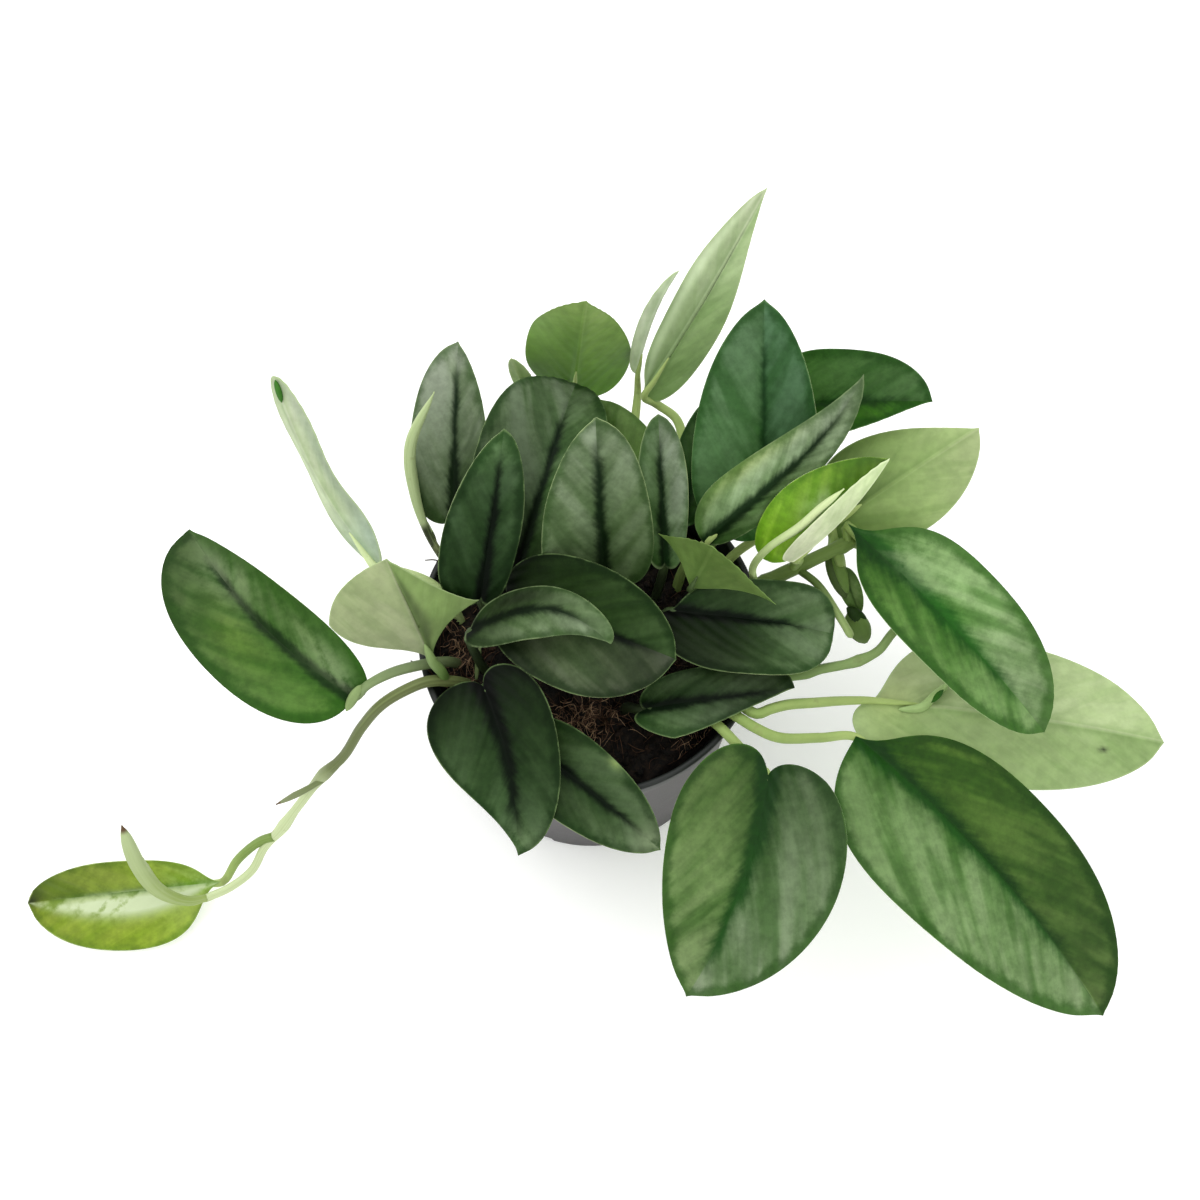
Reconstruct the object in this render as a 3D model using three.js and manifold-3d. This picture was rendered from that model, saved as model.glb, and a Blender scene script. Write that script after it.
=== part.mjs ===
// A young vining aroid with heart-shaped leaves in a round plastic nursery pot.
// Millimetres, +Z up, the origin at the centre of the pot's underside, the plant seen from -Y.
import * as THREE from "three";
import { mergeVertices } from "three/addons/utils/BufferGeometryUtils.js";
import Module from "manifold-3d";

const wasm = await Module();
wasm.setup();

// Driving dimensions
const potHeight = 105;
const rimRadius = 60;
const footRadius = 50;
const wall = 1.2;
const bandHeight = 11; // the straight band under the lip
const bandStep = 2; // how far the band stands out from the tapered wall
const potSegments = 40;
const drainNotches = 8;
const soilTop = 93;
const fit = 0.35; // room between pieces that touch
const bladeThickness = 0.8;
const ribDepth = 0.7; // how far the midrib stands out of the underside
const bladeRows = 9;
const broadLeaf = 22; // half width from which a blade gets three columns a side, else two
const stalkRadius = 1.6;
const stalkSides = 6;
const stalkStep = 12;
const vineSides = 7;
const vineStep = 8;
const rollSides = 6;
const rollStep = 7;

// Colours
const darkGreen = 0x2b4a34;
const greyGreen = 0x5c6e60;
const freshGreen = 0x7fae3f;
const leafGreen = 0x4e8248;
const paleGreen = 0xa5bd8a;
const oliveGreen = 0x7a9457;
const creamGreen = 0xcfe3a6;
const stemGreen = 0x8fa860;
const potGrey = 0x4a4646;
const soilBrown = 0x33241c;

const vector = (p) => new THREE.Vector3(...p);
const radians = THREE.MathUtils.degToRad;

function finish(colour, roughness) {
  return new THREE.MeshStandardMaterial({ color: colour, roughness, metalness: 0, side: THREE.FrontSide });
}

// Solids, for joining and cutting

function solidOf(geometry) {
  const bare = geometry.clone();
  bare.deleteAttribute("normal");
  bare.deleteAttribute("uv");
  const merged = mergeVertices(bare, 1e-4);
  return new wasm.Manifold(
    new wasm.Mesh({
      numProp: 3,
      vertProperties: merged.attributes.position.array,
      triVerts: new Uint32Array(merged.index.array),
    }),
  );
}

function geometryOf(solid) {
  const mesh = solid.getMesh();
  const geometry = new THREE.BufferGeometry();
  geometry.setAttribute("position", new THREE.BufferAttribute(mesh.vertProperties, 3));
  geometry.setIndex(new THREE.BufferAttribute(mesh.triVerts, 1));
  geometry.computeVertexNormals();
  return geometry;
}

function named(name, solid, material) {
  const mesh = new THREE.Mesh(geometryOf(solid), material);
  mesh.name = name;
  return mesh;
}

// A closed round tube along a smooth curve through points; radiusAt gives its radius from 0 to 1 along it.
// With top it ends at its first ring above that height, and it begins back before the first point.
function tube(points, radiusAt, sides, step, top = Infinity, back = 0) {
  const curve = new THREE.CatmullRomCurve3(points.map(vector), false, "centripetal");
  const whole = Math.max(3, Math.round(curve.getLength() / step));
  const frames = curve.computeFrenetFrames(whole);
  const at = (i) => curve.getPointAt(i / whole).addScaledVector(frames.tangents[i], i === 0 ? -back : 0);
  let steps = 1;
  while (steps < whole && at(steps).z < top) steps++;
  const positions = [];
  const faces = [];
  for (let i = 0; i <= steps; i++) {
    const centre = at(i);
    const radius = radiusAt(i / whole);
    for (let j = 0; j < sides; j++) {
      const angle = (2 * Math.PI * j) / sides;
      const across = frames.normals[i].clone().multiplyScalar(radius * Math.cos(angle));
      const round = frames.binormals[i].clone().multiplyScalar(radius * Math.sin(angle));
      positions.push(...centre.clone().add(across).add(round).toArray());
      if (i < steps) {
        const a = i * sides + j;
        const b = i * sides + ((j + 1) % sides);
        faces.push(a, b, b + sides, a, b + sides, a + sides);
      }
    }
  }
  const first = positions.length / 3;
  positions.push(...at(0).toArray(), ...at(steps).toArray());
  for (let j = 0; j < sides; j++) {
    const k = (j + 1) % sides;
    faces.push(first, k, j, first + 1, steps * sides + j, steps * sides + k);
  }
  const geometry = new THREE.BufferGeometry();
  geometry.setAttribute("position", new THREE.Float32BufferAttribute(positions, 3));
  geometry.setIndex(faces);
  return solidOf(geometry);
}

// Leaf blades

function cubic(u, a, b, c, d) {
  const v = 1 - u;
  return a * v ** 3 + 3 * b * u * v ** 2 + 3 * c * u ** 2 * v + d * u ** 3;
}

// Where row t of one half leaves the midrib, and where it meets the margin, in the flat leaf:
// x along the midrib from the base, y out from it. One curve runs from the base round the lobe to
// the widest place, and a second one from there to the tip. A corner of 1 makes the widest place pointed.
function row(t, length, half) {
  const { width, lobe, widest, point, corner } = half;
  const x = widest * length;
  const rest = length - x;
  const turn = 0.4;
  const blend = THREE.MathUtils.lerp;
  if (t <= turn) {
    const u = t / turn;
    return {
      rib: x * u ** 1.3,
      x: cubic(u, 0, -2.1 * lobe, blend(-0.8 * lobe, x, corner), x),
      y: cubic(u, 0, 0.15 * width, blend(1, 0.55, corner) * width, width),
    };
  }
  const u = (t - turn) / (1 - turn);
  return {
    rib: x + rest * u,
    x: cubic(u, x, x + blend(0.42, 0.1, corner) * rest, length - (0.06 + 0.26 * point) * rest, length),
    y: cubic(u, width, blend(1, 0.75, corner) * width, (0.76 - 0.56 * point) * width, 0),
  };
}

// A pair holds the left and the right half, seen from above with the tip ahead; one number stands for both.
const bladeDefaults = {
  width: 15, // half width
  lobe: 4, // how far the lobe reaches back past the base
  widest: 0.38, // where along the leaf it is widest
  point: 0.3, // 0 is a blunt tip, 1 a drawn-out one
  corner: 0,
  fold: 8, // degrees that the half stands up from flat at the midrib
  curl: 10, // further degrees from the midrib to the margin
  lift: 4, // the midrib's two handles, near the base and near the tip, out of the leaf's plane
  side: 0, // and sideways, to the right
  twist: 0, // degrees that the tip is turned against the base
  wave: 1, // how far the margin waves up and down
  waves: 1.5,
};

const pairOf = (value) => (Array.isArray(value) ? value : [value, value]);

function complete(values) {
  const leaf = { ...bladeDefaults, ...values };
  leaf.lift = pairOf(leaf.lift);
  leaf.side = pairOf(leaf.side);
  leaf.halves = [0, 1].map((k) => {
    const half = {};
    for (const key of ["width", "lobe", "widest", "point", "corner", "fold", "curl"]) {
      half[key] = pairOf(leaf[key])[k];
    }
    return half;
  });
  leaf.columns = Math.max(leaf.halves[0].width, leaf.halves[1].width) >= broadLeaf ? 3 : 2;
  leaf.length = 1;
  leaf.length = midrib(leaf).curve.getLength();
  return leaf;
}

// The midrib is a cubic curve from base to tip. face is the way that the upper side looks.
function midrib(leaf) {
  const base = vector(leaf.base);
  const tip = vector(leaf.tip);
  const chord = tip.clone().sub(base);
  const ahead = chord.clone().normalize();
  const up = vector(leaf.face).addScaledVector(ahead, -vector(leaf.face).dot(ahead)).normalize();
  const right = ahead.clone().cross(up);
  const handle = (share, k) => {
    const bend = right.clone().multiplyScalar(leaf.side[k]).addScaledVector(up, leaf.lift[k]);
    return base.clone().addScaledVector(chord, share).add(bend);
  };
  const curve = new THREE.CubicBezierCurve3(base, handle(1 / 3, 0), handle(2 / 3, 1), tip);
  const frameAt = (t) => {
    const inside = THREE.MathUtils.clamp(t, 0, 1);
    const along = curve.getTangent(inside);
    const normal = up.clone().addScaledVector(along, -up.dot(along)).normalize();
    normal.applyAxisAngle(along, radians(leaf.twist * inside));
    const point = curve.getPoint(inside).addScaledVector(along, (t - inside) * leaf.length);
    return { point, along, normal, across: along.clone().cross(normal) };
  };
  return { curve, frameAt };
}

// A place on the middle of the blade: x along the midrib and y out from it (left is negative).
// The half bends up along an arc that starts at the fold angle and turns by the curl.
function place(leaf, rib, x, y) {
  const k = y < 0 ? 0 : 1;
  const frame = rib.frameAt(x / leaf.length);
  const out = Math.abs(y);
  const half = leaf.halves[k];
  const share = out / half.width;
  const angle = radians(half.fold + (half.curl * share) / 2);
  const wave = leaf.wave * share * share * Math.sin(2 * Math.PI * leaf.waves * (x / leaf.length) + 2.4 * k);
  return frame.point
    .clone()
    .addScaledVector(frame.across, Math.sign(y) * out * Math.cos(angle))
    .addScaledVector(frame.normal, out * Math.sin(angle) + wave);
}

// A closed blade: a grid of rows from base to tip and columns from margin to margin, once above and
// once below, split into triangles alike, with a wall round the margin.
function blade(leaf) {
  const rib = midrib(leaf);
  const across = 2 * leaf.columns + 1;
  const middle = [];
  for (let i = 0; i <= bladeRows; i++) {
    middle.push([]);
    for (let j = 0; j < across; j++) {
      const s = (j - leaf.columns) / leaf.columns;
      const r = row(i / bladeRows, leaf.length, leaf.halves[s < 0 ? 0 : 1]);
      const out = Math.abs(s);
      middle[i].push(place(leaf, rib, r.rib + out * (r.x - r.rib), s * r.y));
    }
  }
  const normalAt = (i, j) => {
    if (i === 0 || i === bladeRows) return rib.frameAt(i / bladeRows).normal;
    const ahead = middle[i + 1][j].clone().sub(middle[i - 1][j]);
    const right = middle[i][Math.min(j + 1, across - 1)].clone().sub(middle[i][Math.max(j - 1, 0)]);
    return right.cross(ahead).normalize();
  };
  const positions = [];
  const index = [];
  for (const side of [1, -1]) {
    for (let i = 0; i <= bladeRows; i++) {
      index.push([]);
      for (let j = 0; j < across; j++) {
        const pole = i === 0 || i === bladeRows;
        if (pole && j > 0) {
          index[index.length - 1].push(index[index.length - 1][0]);
          continue;
        }
        const keel = side < 0 && j === leaf.columns ? ribDepth * (1 - i / bladeRows) : 0;
        const depth = side * (bladeThickness / 2 + keel);
        const point = middle[i][j].clone().addScaledVector(normalAt(i, j), depth);
        index[index.length - 1].push(positions.length / 3);
        positions.push(...point.toArray());
      }
    }
  }
  const top = index.slice(0, bladeRows + 1);
  const under = index.slice(bladeRows + 1);
  const faces = [];
  const triangle = (a, b, c) => {
    if (a !== b && b !== c && c !== a) faces.push(a, b, c);
  };
  const quad = (grid, i, j, flip) => {
    const [a, b, c, d] = [grid[i][j], grid[i][j + 1], grid[i + 1][j + 1], grid[i + 1][j]];
    const mirrored = j < leaf.columns; // the same split on both halves, seen from the midrib
    const halves = mirrored ? [[a, b, c], [a, c, d]] : [[a, b, d], [b, c, d]];
    for (const [p, q, r] of halves) flip ? triangle(p, r, q) : triangle(p, q, r);
  };
  for (let i = 0; i < bladeRows; i++) {
    for (let j = 0; j < across - 1; j++) {
      quad(top, i, j, false);
      quad(under, i, j, true);
    }
    const last = across - 1;
    for (const [a, b, c, d] of [
      [top[i + 1][0], under[i + 1][0], under[i][0], top[i][0]],
      [top[i][last], under[i][last], under[i + 1][last], top[i + 1][last]],
    ]) {
      triangle(a, b, c);
      triangle(a, c, d);
    }
  }
  const geometry = new THREE.BufferGeometry();
  geometry.setAttribute("position", new THREE.Float32BufferAttribute(positions, 3));
  geometry.setIndex(faces);
  return solidOf(geometry);
}

// A leaf grown as one piece: the blade and its stalk, which runs on for a little under the midrib.
function leafSolid(leaf) {
  const rib = midrib(leaf);
  const under = (t, depth) => {
    const frame = rib.frameAt(t);
    return frame.point.addScaledVector(frame.normal, -depth).toArray();
  };
  const path = [...leaf.stalk, under(0, 0.6), under(0.08, 0.9), under(0.2, 0.5)];
  const thin = (t) => stalkRadius * (1.12 - 0.45 * t ** 3);
  return { solid: blade(leaf).add(tube(path, thin, stalkSides, stalkStep)), path };
}

// A young leaf still rolled up: a slim spindle on its own stalk.
function rolledSolid(roll) {
  const swell = (t) => {
    const along = THREE.MathUtils.clamp((t - roll.stalkShare) / (1 - roll.stalkShare), 0, 1);
    const body = (roll.radius - roll.stalkRadius) * Math.sin(Math.PI * Math.min(1, along * 1.6) * 0.5);
    return Math.max(0.4, (roll.stalkRadius + body) * (1 - along ** 5));
  };
  return tube(roll.path, swell, rollSides, rollStep);
}

// The vines, which stand in the soil and carry leaves. joints are the shares of the length where a
// ring stands out.
const vines = {
  vine_west: {
    path: [[-40, -14, 84], [-47, -18, 102], [-56, -20, 108], [-64, -23, 107], [-72, -26, 101],
      [-80, -30, 88], [-88, -35, 70], [-98, -39, 55], [-107, -45, 41], [-115, -51, 29], [-122, -56, 21],
      [-127, -63, 15], [-135, -69, 13], [-144, -73, 12]],
    radius: 1.9, joints: [0.56, 0.75], swell: 0.7,
  },
  vine_east: {
    path: [[46, 7, 84], [51, 10, 102], [57, 13, 110], [64, 17, 111], [74, 21, 114], [84, 25, 117],
      [92, 28, 119]],
    radius: 2.8, joints: [0.5, 0.93], swell: 0.6,
  },
  vine_east_low: {
    path: [[44, -4, 84], [49, -8, 101], [56, -15, 109], [67, -18, 108], [80, -15, 107], [92, -12, 106],
      [100, -8, 106], [105, -2, 107]],
    radius: 1.9, joints: [0.6, 0.82], swell: 0.5,
  },
};

function vineSolid(vine, grow) {
  const ring = (t) => Math.max(0, ...vine.joints.map((at) => 1 - Math.abs(t - at) / 0.05));
  const radiusAt = (t) => vine.radius * (1.1 - 0.3 * t) + vine.swell * ring(t) + grow;
  return tube(vine.path, radiusAt, vineSides, vineStep);
}

// The leaves. stalk lists the stalk's points from the soil, or from the vine named by on, up to the base.
const leaves = {
  leaf_west_broad: {
    base: [-82, -23, 99], tip: [-141, 36, 110], face: [-0.1, -0.3, 1], width: [25, 16], lobe: [0, 3],
    widest: [0.5, 0.34], point: [-0.1, 0.5], lift: [6, 4], side: -6, colour: darkGreen,
    stalk: [[-44, -6, 84], [-50, -11, 103], [-57, -14, 109], [-68, -17, 109], [-77, -20, 104]],
  },
  leaf_west_folded: {
    base: [-54, -14, 114], tip: [-67, 8, 152], face: [-0.3, 1, -0.4], width: [23, 27], lobe: [-5, -6],
    widest: [0.36, 0.63], corner: [1, 0.3], point: [0.9, 0], fold: 0, lift: -3, wave: 0,
    colour: paleGreen, on: "vine_west",
    stalk: [[-50, -18, 105], [-51, -17, 110]],
  },
  leaf_west_narrow: {
    base: [-73, 20, 115], tip: [-108, 76, 150], face: [1, 0.5, -0.6], width: 9.5, lobe: 0,
    widest: 0.3, side: [12, 9], point: -0.3, lift: 0, colour: paleGreen,
    stalk: [[-44, 6, 84], [-50, 12, 103], [-56, 16, 109], [-66, 19, 112]],
  },
  leaf_trailing: {
    base: [-139, -66, 9], tip: [-213, -73, 4], face: [0, -0.2, 1], width: [22, 12], lobe: [-6, -5],
    widest: [0.45, 0.6], point: 0.1, fold: [-8, 8], lift: [3, 3], colour: freshGreen, on: "vine_west",
    stalk: [[-118, -53, 26], [-124, -54, 22], [-133, -59, 14]],
  },
  leaf_north_west: {
    base: [-48, 40, 112], tip: [-46, 95, 139], face: [-0.1, -0.3, 1], width: [16, 13], lobe: 3,
    widest: 0.32, point: [0.1, 0.5], colour: greyGreen,
    stalk: [[-34, 27, 84], [-40, 32, 102], [-45, 37, 109]],
  },
  leaf_north_heart: {
    base: [-6, 93, 106], tip: [-1, 91, 176], face: [0, 1, 0], width: [20, 19], lobe: [8, 3],
    widest: [0.18, 0.32], point: [0.65, 0.3], lift: 2, colour: oliveGreen,
    stalk: [[0, 40, 84], [0, 48, 102], [-1, 57, 109], [-3, 76, 108], [-5, 88, 103]],
  },
  leaf_north_small: {
    base: [-22, 88, 110], tip: [-28, 94, 128], face: [0, 1, 0.2], width: 4, lobe: 0, lift: 0, wave: 0,
    colour: oliveGreen,
    stalk: [[-14, 37, 84], [-16, 45, 101], [-19, 55, 109], [-21, 74, 109]],
  },
  leaf_north_pale: {
    base: [19, 84, 119], tip: [61, 137, 172], face: [-0.3, 0.4, -0.8], width: [13, 11], lobe: [2, -3],
    widest: [0.25, 0.5], point: [1, 0.4], lift: -4, fold: [5, 45], colour: paleGreen,
    stalk: [[22, 38, 84], [26, 43, 103], [30, 50, 109], [33, 66, 111], [31, 78, 111], [24, 83, 113]],
  },
  leaf_north_narrow: {
    base: [16, 94, 117], tip: [31, 117, 150], face: [-0.8, 0.5, -0.5], width: 4.5, lobe: 0, widest: 0.5,
    side: [3, 7], lift: 0, fold: 20, wave: 0, colour: paleGreen,
    stalk: [[9, 41, 84], [11, 48, 102], [13, 57, 109], [16, 78, 111], [17, 88, 112]],
  },
  leaf_centre_broad: {
    base: [-29, 7, 108], tip: [-5, 88, 120], face: [0, -0.4, 1], width: [26, 19], lobe: 4,
    widest: [0.58, 0.5], point: [0.05, 0], lift: [16, 34], colour: darkGreen,
    stalk: [[-22, -2, 84], [-25, 2, 100]],
  },
  leaf_centre_bright: {
    base: [5, 15, 117], tip: [2, 43, 187], face: [0, -0.8, 0.5], width: [21, 18], lobe: [6, 4],
    widest: [0.24, 0.3], point: [0.35, 0], lift: 2, colour: greyGreen,
    stalk: [[4, 6, 84], [4, 10, 102]],
  },
  leaf_centre_left: {
    base: [-37, 3, 128], tip: [-28, 46, 172], face: [0.1, -0.6, 0.7], width: [17, 10], lobe: 3,
    widest: [0.3, 0.5], point: [0.4, 0.1], colour: darkGreen,
    stalk: [[-31, 2, 84], [-35, 3, 108]],
  },
  leaf_centre_back: {
    base: [20, 32, 104], tip: [3, 80, 124], face: [0, -0.3, 1], width: [13, 17], lobe: 3,
    colour: leafGreen,
    stalk: [[15, 25, 84], [17, 28, 96]],
  },
  leaf_centre_low: {
    base: [-27, 4, 126], tip: [29, -21, 134], face: [0, -0.3, 1], width: [21, 24], lobe: 4,
    lift: 5, widest: [0.42, 0.52], point: 0.2, colour: oliveGreen,
    stalk: [[-20, -8, 84], [-23, -4, 105]],
  },
  leaf_centre_curled: {
    base: [-42, -8, 124], tip: [7, -21, 149], face: [0, -0.4, 1], width: [8, 10], lobe: [-3, 2],
    widest: 0.5, point: [-0.3, 0.7], lift: [5, 8], side: [-8, -18], fold: [-20, 0], colour: greyGreen,
    stalk: [[-33, -12, 84], [-38, -12, 105]],
  },
  leaf_centre_narrow: {
    base: [26, 20, 116], tip: [23, 57, 160], face: [0, -0.6, 0.7], width: [8.5, 9.5], lobe: 2,
    widest: 0.58, point: 0.1, fold: 15, colour: darkGreen,
    stalk: [[21, 14, 84], [24, 17, 100]],
  },
  leaf_north_east_dark: {
    base: [61, 32, 118], tip: [59, 96, 168], face: [-0.2, -0.6, 0.8], width: [25, 20], lobe: 4,
    widest: [0.28, 0.38], colour: darkGreen,
    stalk: [[40, 20, 84], [46, 24, 102], [52, 28, 109], [58, 31, 113]],
  },
  leaf_north_east_shade: {
    base: [33, 42, 107], tip: [45, 85, 118], face: [0, -0.2, 1], width: [9, 8], lobe: 3, colour: darkGreen,
    stalk: [[28, 31, 84], [31, 36, 98]],
  },
  leaf_far_east: {
    base: [66, 79, 120], tip: [119, 73, 136], face: [0, -0.2, 1], width: [19, 14], lobe: 4,
    widest: [0.36, 0.22], point: [0, 0.9], colour: leafGreen,
    stalk: [[37, 28, 84], [41, 31, 103], [47, 36, 110], [56, 54, 113], [63, 74, 117]],
  },
  leaf_east_lance: {
    base: [39, 22, 131], tip: [91, 66, 172], face: [-0.3, -0.4, 1], width: [13, 9], lobe: 0,
    widest: [0.24, 0.4], side: [2, 10], fold: [0, -40], point: [0.7, 0.3], colour: greyGreen,
    stalk: [[30, 20, 84], [33, 22, 108]],
  },
  leaf_east_pale: {
    base: [85, 36, 114], tip: [136, 67, 128], face: [0, 0.2, -1], width: [20, 21], lobe: 2,
    widest: [0.45, 0.3], point: [0.3, 0.8], lift: -4, colour: oliveGreen, on: "vine_east",
    stalk: [[84, 25, 117], [85, 31, 114]],
  },
  leaf_east_fresh: {
    base: [69, 15, 134], tip: [99, 38, 166], face: [-0.3, -0.4, 1], width: [21, 10], lobe: [10, 2],
    widest: [0.32, 0.4], side: 4, fold: [8, 112], curl: [6, 12], wave: 0, colour: freshGreen,
    on: "vine_east",
    stalk: [[70, 20, 112], [72, 20, 121], [70, 17, 129]],
  },
  leaf_small_end_on: {
    base: [35, 10, 121], tip: [41, 14, 148], face: [0.53, 0.85, -0.2], width: [28, 19], lobe: 0,
    widest: [0.53, 0.43], corner: 1, point: 0.8, fold: 0, curl: 0, wave: 0, colour: oliveGreen,
    stalk: [[38, 14, 84], [37, 15, 106]],
  },
  leaf_south_round: {
    base: [27, 3, 117], tip: [84, -4, 112], face: [0, -0.1, 1], width: [15, 21], lobe: [-3, 4],
    widest: [0.7, 0.42], lift: [2, 6], point: [-0.3, -0.2], colour: darkGreen,
    stalk: [[19, -4, 84], [22, -1, 105]],
  },
  leaf_south_dark: {
    base: [19, -31, 111.5], tip: [70, -24, 113], face: [0, 0, 1], width: 12, lobe: [2, 5],
    widest: [0.4, 0.16], corner: [0, 0.4], point: [-0.3, 0.9], fold: 0, curl: [0, 4], lift: 1, wave: 0,
    colour: darkGreen,
    stalk: [[12, -24, 84], [13, -27, 101]],
  },
  leaf_south_heart: {
    base: [-36, -26, 121], tip: [-24, -81, 106], face: [0, -0.2, 1], width: [19, 24], lobe: [5, 4],
    widest: [0.27, 0.22], point: [0.1, 1], side: -4, colour: darkGreen,
    stalk: [[-28, -21, 84], [-31, -23, 105], [-35, -25, 116]],
  },
  leaf_south_lance: {
    base: [-24, -40, 111], tip: [24, -78, 102], face: [0, -0.1, 1], width: [14, 16], lobe: 3,
    lift: 4, colour: darkGreen,
    stalk: [[-18, -34, 84], [-21, -36, 100]],
  },
  leaf_south_east_heart: {
    base: [60.5, -53, 107], tip: [33, -122, 73], face: [0, -0.1, 1], width: [33, 30], lobe: [5, 9],
    widest: [0.34, 0.26], point: [0.5, 0.35], fold: [20, 8], curl: [-8, 10], side: -6, colour: leafGreen,
    stalk: [[37, -28, 84], [40, -31, 103], [44, -36, 108.3], [50, -42, 107], [57, -49, 104]],
  },
  leaf_east_largest: {
    base: [92, -36, 97], tip: [176, -128, 70], face: [0, 0, 1], width: [28, 37], lobe: [-8, -1],
    widest: [0.52, 0.35], point: [0.2, 0.3], fold: [4, 8], side: -5, lift: 8, colour: leafGreen,
    stalk: [[42, -24, 84], [44, -27, 103], [49, -32, 109], [56, -37, 110], [64, -40, 108], [79, -38, 101]],
  },
  leaf_east_pale_large: {
    base: [98, -21, 89], tip: [204, -32, 76], face: [0, 0, -1], width: [26, 31], lobe: [6, -4],
    widest: 0.42, point: 0.2, lift: -8, colour: paleGreen,
    stalk: [[46, -17, 84], [48, -22, 103], [52, -29, 109.3], [57, -32, 109.3], [62, -30, 108.5],
      [68, -28, 107], [77, -26, 103], [87, -23, 96]],
  },
  leaf_east_glossy: {
    base: [89, 32, 125], tip: [156, -37, 104], face: [0.1, 0, 1], width: [23, 20], lobe: [-8, -7],
    widest: 0.5, point: [0.1, 0.2], fold: [4, 8], lift: 7, colour: leafGreen, on: "vine_east",
    stalk: [[90, 27, 119], [89, 31, 121]],
  },
  sheath_east_upper: {
    base: [88, 21, 111], tip: [95, 8, 99], face: [-0.3, 0.2, 1], width: 4, lobe: 0, lift: 1, wave: 0,
    colour: greyGreen, on: "vine_east", stalk: [[86, 25, 117], [87, 23, 114]],
  },
};

// The young leaves that are still rolled, an old sheath, and the thin stalk between the two east vines.
const rolls = {
  roll_north_west: {
    path: [[-40, 15, 84], [-47, 21, 102], [-52, 26, 109], [-57, 34, 112], [-61, 44, 121], [-62, 57, 134],
      [-53, 70, 150]],
    radius: 2.2, stalkRadius: 1.4, stalkShare: 0.45,
  },
  roll_west: {
    path: [[-144, -73, 12], [-151, -75, 16], [-160, -73, 25], [-166, -66, 36], [-170, -55, 49]],
    radius: 2.8, stalkRadius: 1.5, stalkShare: 0.05, on: "vine_west",
  },
  roll_east: {
    path: [[58, 14, 110], [56, 16, 124], [61, 18, 138], [70.5, 20.5, 150], [77, 24, 158], [83.5, 27, 166]],
    radius: 1.6, stalkRadius: 1.3, stalkShare: 0.5, on: "vine_east",
  },
  stalk_east: {
    path: [[72, 20, 113], [79, 13, 115], [86, 3, 112], [91, -4, 108]],
    radius: 1.4, stalkRadius: 1.4, stalkShare: 0.9, on: "vine_east",
  },
  sheath_west: {
    path: [[-97, -40, 56], [-105, -44, 54], [-114, -48, 52]],
    radius: 1.2, stalkRadius: 1, stalkShare: 0.1, on: "vine_west",
  },
};

// The pot: one turned wall and floor, with drain notches cut through the foot's edge.
function potSolid() {
  const bandFoot = potHeight - bandHeight;
  const wallTop = rimRadius - bandStep - 1.5;
  const profile = [
    [0, 0], [footRadius, 0], [wallTop, bandFoot], [rimRadius - 1.5, bandFoot + 1],
    [rimRadius - 1, potHeight - 2.5], [rimRadius, potHeight - 2], [rimRadius, potHeight],
    [rimRadius - 2.2, potHeight], [rimRadius - 1.5 - wall, bandFoot + 2], [wallTop - wall, bandFoot],
    [footRadius - wall, wall], [0, wall],
  ].map(([r, z]) => new THREE.Vector2(r, z));
  let pot = solidOf(new THREE.LatheGeometry(profile, potSegments).rotateX(Math.PI / 2));
  for (let i = 0; i < drainNotches; i++) {
    const angle = (2 * Math.PI * (i + 0.5)) / drainNotches;
    const notch = new THREE.BoxGeometry(12, 9, 8);
    notch.rotateZ(angle);
    notch.translate((footRadius - 1) * Math.cos(angle), (footRadius - 1) * Math.sin(angle), 0);
    pot = pot.subtract(solidOf(notch));
  }
  return pot;
}

// The soil: a plug inside the pot with a lumpy top, before the stems' holes are cut.
function soilSolid() {
  const bandFoot = potHeight - bandHeight;
  const wallAt = (z) =>
    THREE.MathUtils.mapLinear(z, 1, bandFoot, footRadius, rimRadius - bandStep - 1.5) - wall - fit - 0.4;
  const broad = (x, y) => 1.6 * Math.sin(0.31 * x + 1.2) * Math.cos(0.27 * y);
  const lump = (x, y) => broad(x, y) + 1.1 * Math.sin(0.63 * x - 0.5 * y);
  const rings = 6;
  const sectors = 30;
  const positions = [0, 0, wall + 1 + fit, 0, 0, soilTop + lump(0, 0)];
  const faces = [];
  const ringAt = (radius, z) => {
    const first = positions.length / 3;
    for (let j = 0; j < sectors; j++) {
      const x = radius * Math.cos((2 * Math.PI * j) / sectors);
      const y = radius * Math.sin((2 * Math.PI * j) / sectors);
      positions.push(x, y, z(x, y));
    }
    return first;
  };
  const join = (a, b) => {
    for (let j = 0; j < sectors; j++) {
      const k = (j + 1) % sectors;
      faces.push(a + j, a + k, b + k, a + j, b + k, b + j);
    }
  };
  const foot = ringAt(wallAt(wall + 1 + fit) - 1, () => wall + 1 + fit);
  let last = foot;
  for (let i = rings; i >= 1; i--) {
    const radius = (wallAt(soilTop - 3) * i) / rings;
    const ring = ringAt(radius, (x, y) => (i === rings ? soilTop - 2 : soilTop + lump(x, y)));
    join(last, ring);
    last = ring;
  }
  for (let j = 0; j < sectors; j++) {
    const k = (j + 1) % sectors;
    faces.push(0, foot + k, foot + j, 1, last + j, last + k);
  }
  const geometry = new THREE.BufferGeometry();
  geometry.setAttribute("position", new THREE.Float32BufferAttribute(positions, 3));
  geometry.setIndex(faces);
  return solidOf(geometry);
}

const plant = new THREE.Group();
plant.name = "potted_plant";
plant.add(named("pot", potSolid(), finish(potGrey, 0.5)));

let soil = soilSolid();
// Cuts a plain hole for a stem: the start of the stem's own tube, a little fatter and a little deeper.
function cutHole(path, radius, sides, step) {
  soil = soil.subtract(tube(path, () => radius + fit, sides, step, soilTop + 5, fit));
}
// Joined or cut solids can leave shavings; the piece itself is the largest body.
function largest(solid) {
  return solid.decompose().reduce((a, b) => (a.volume() > b.volume() ? a : b));
}

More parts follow.
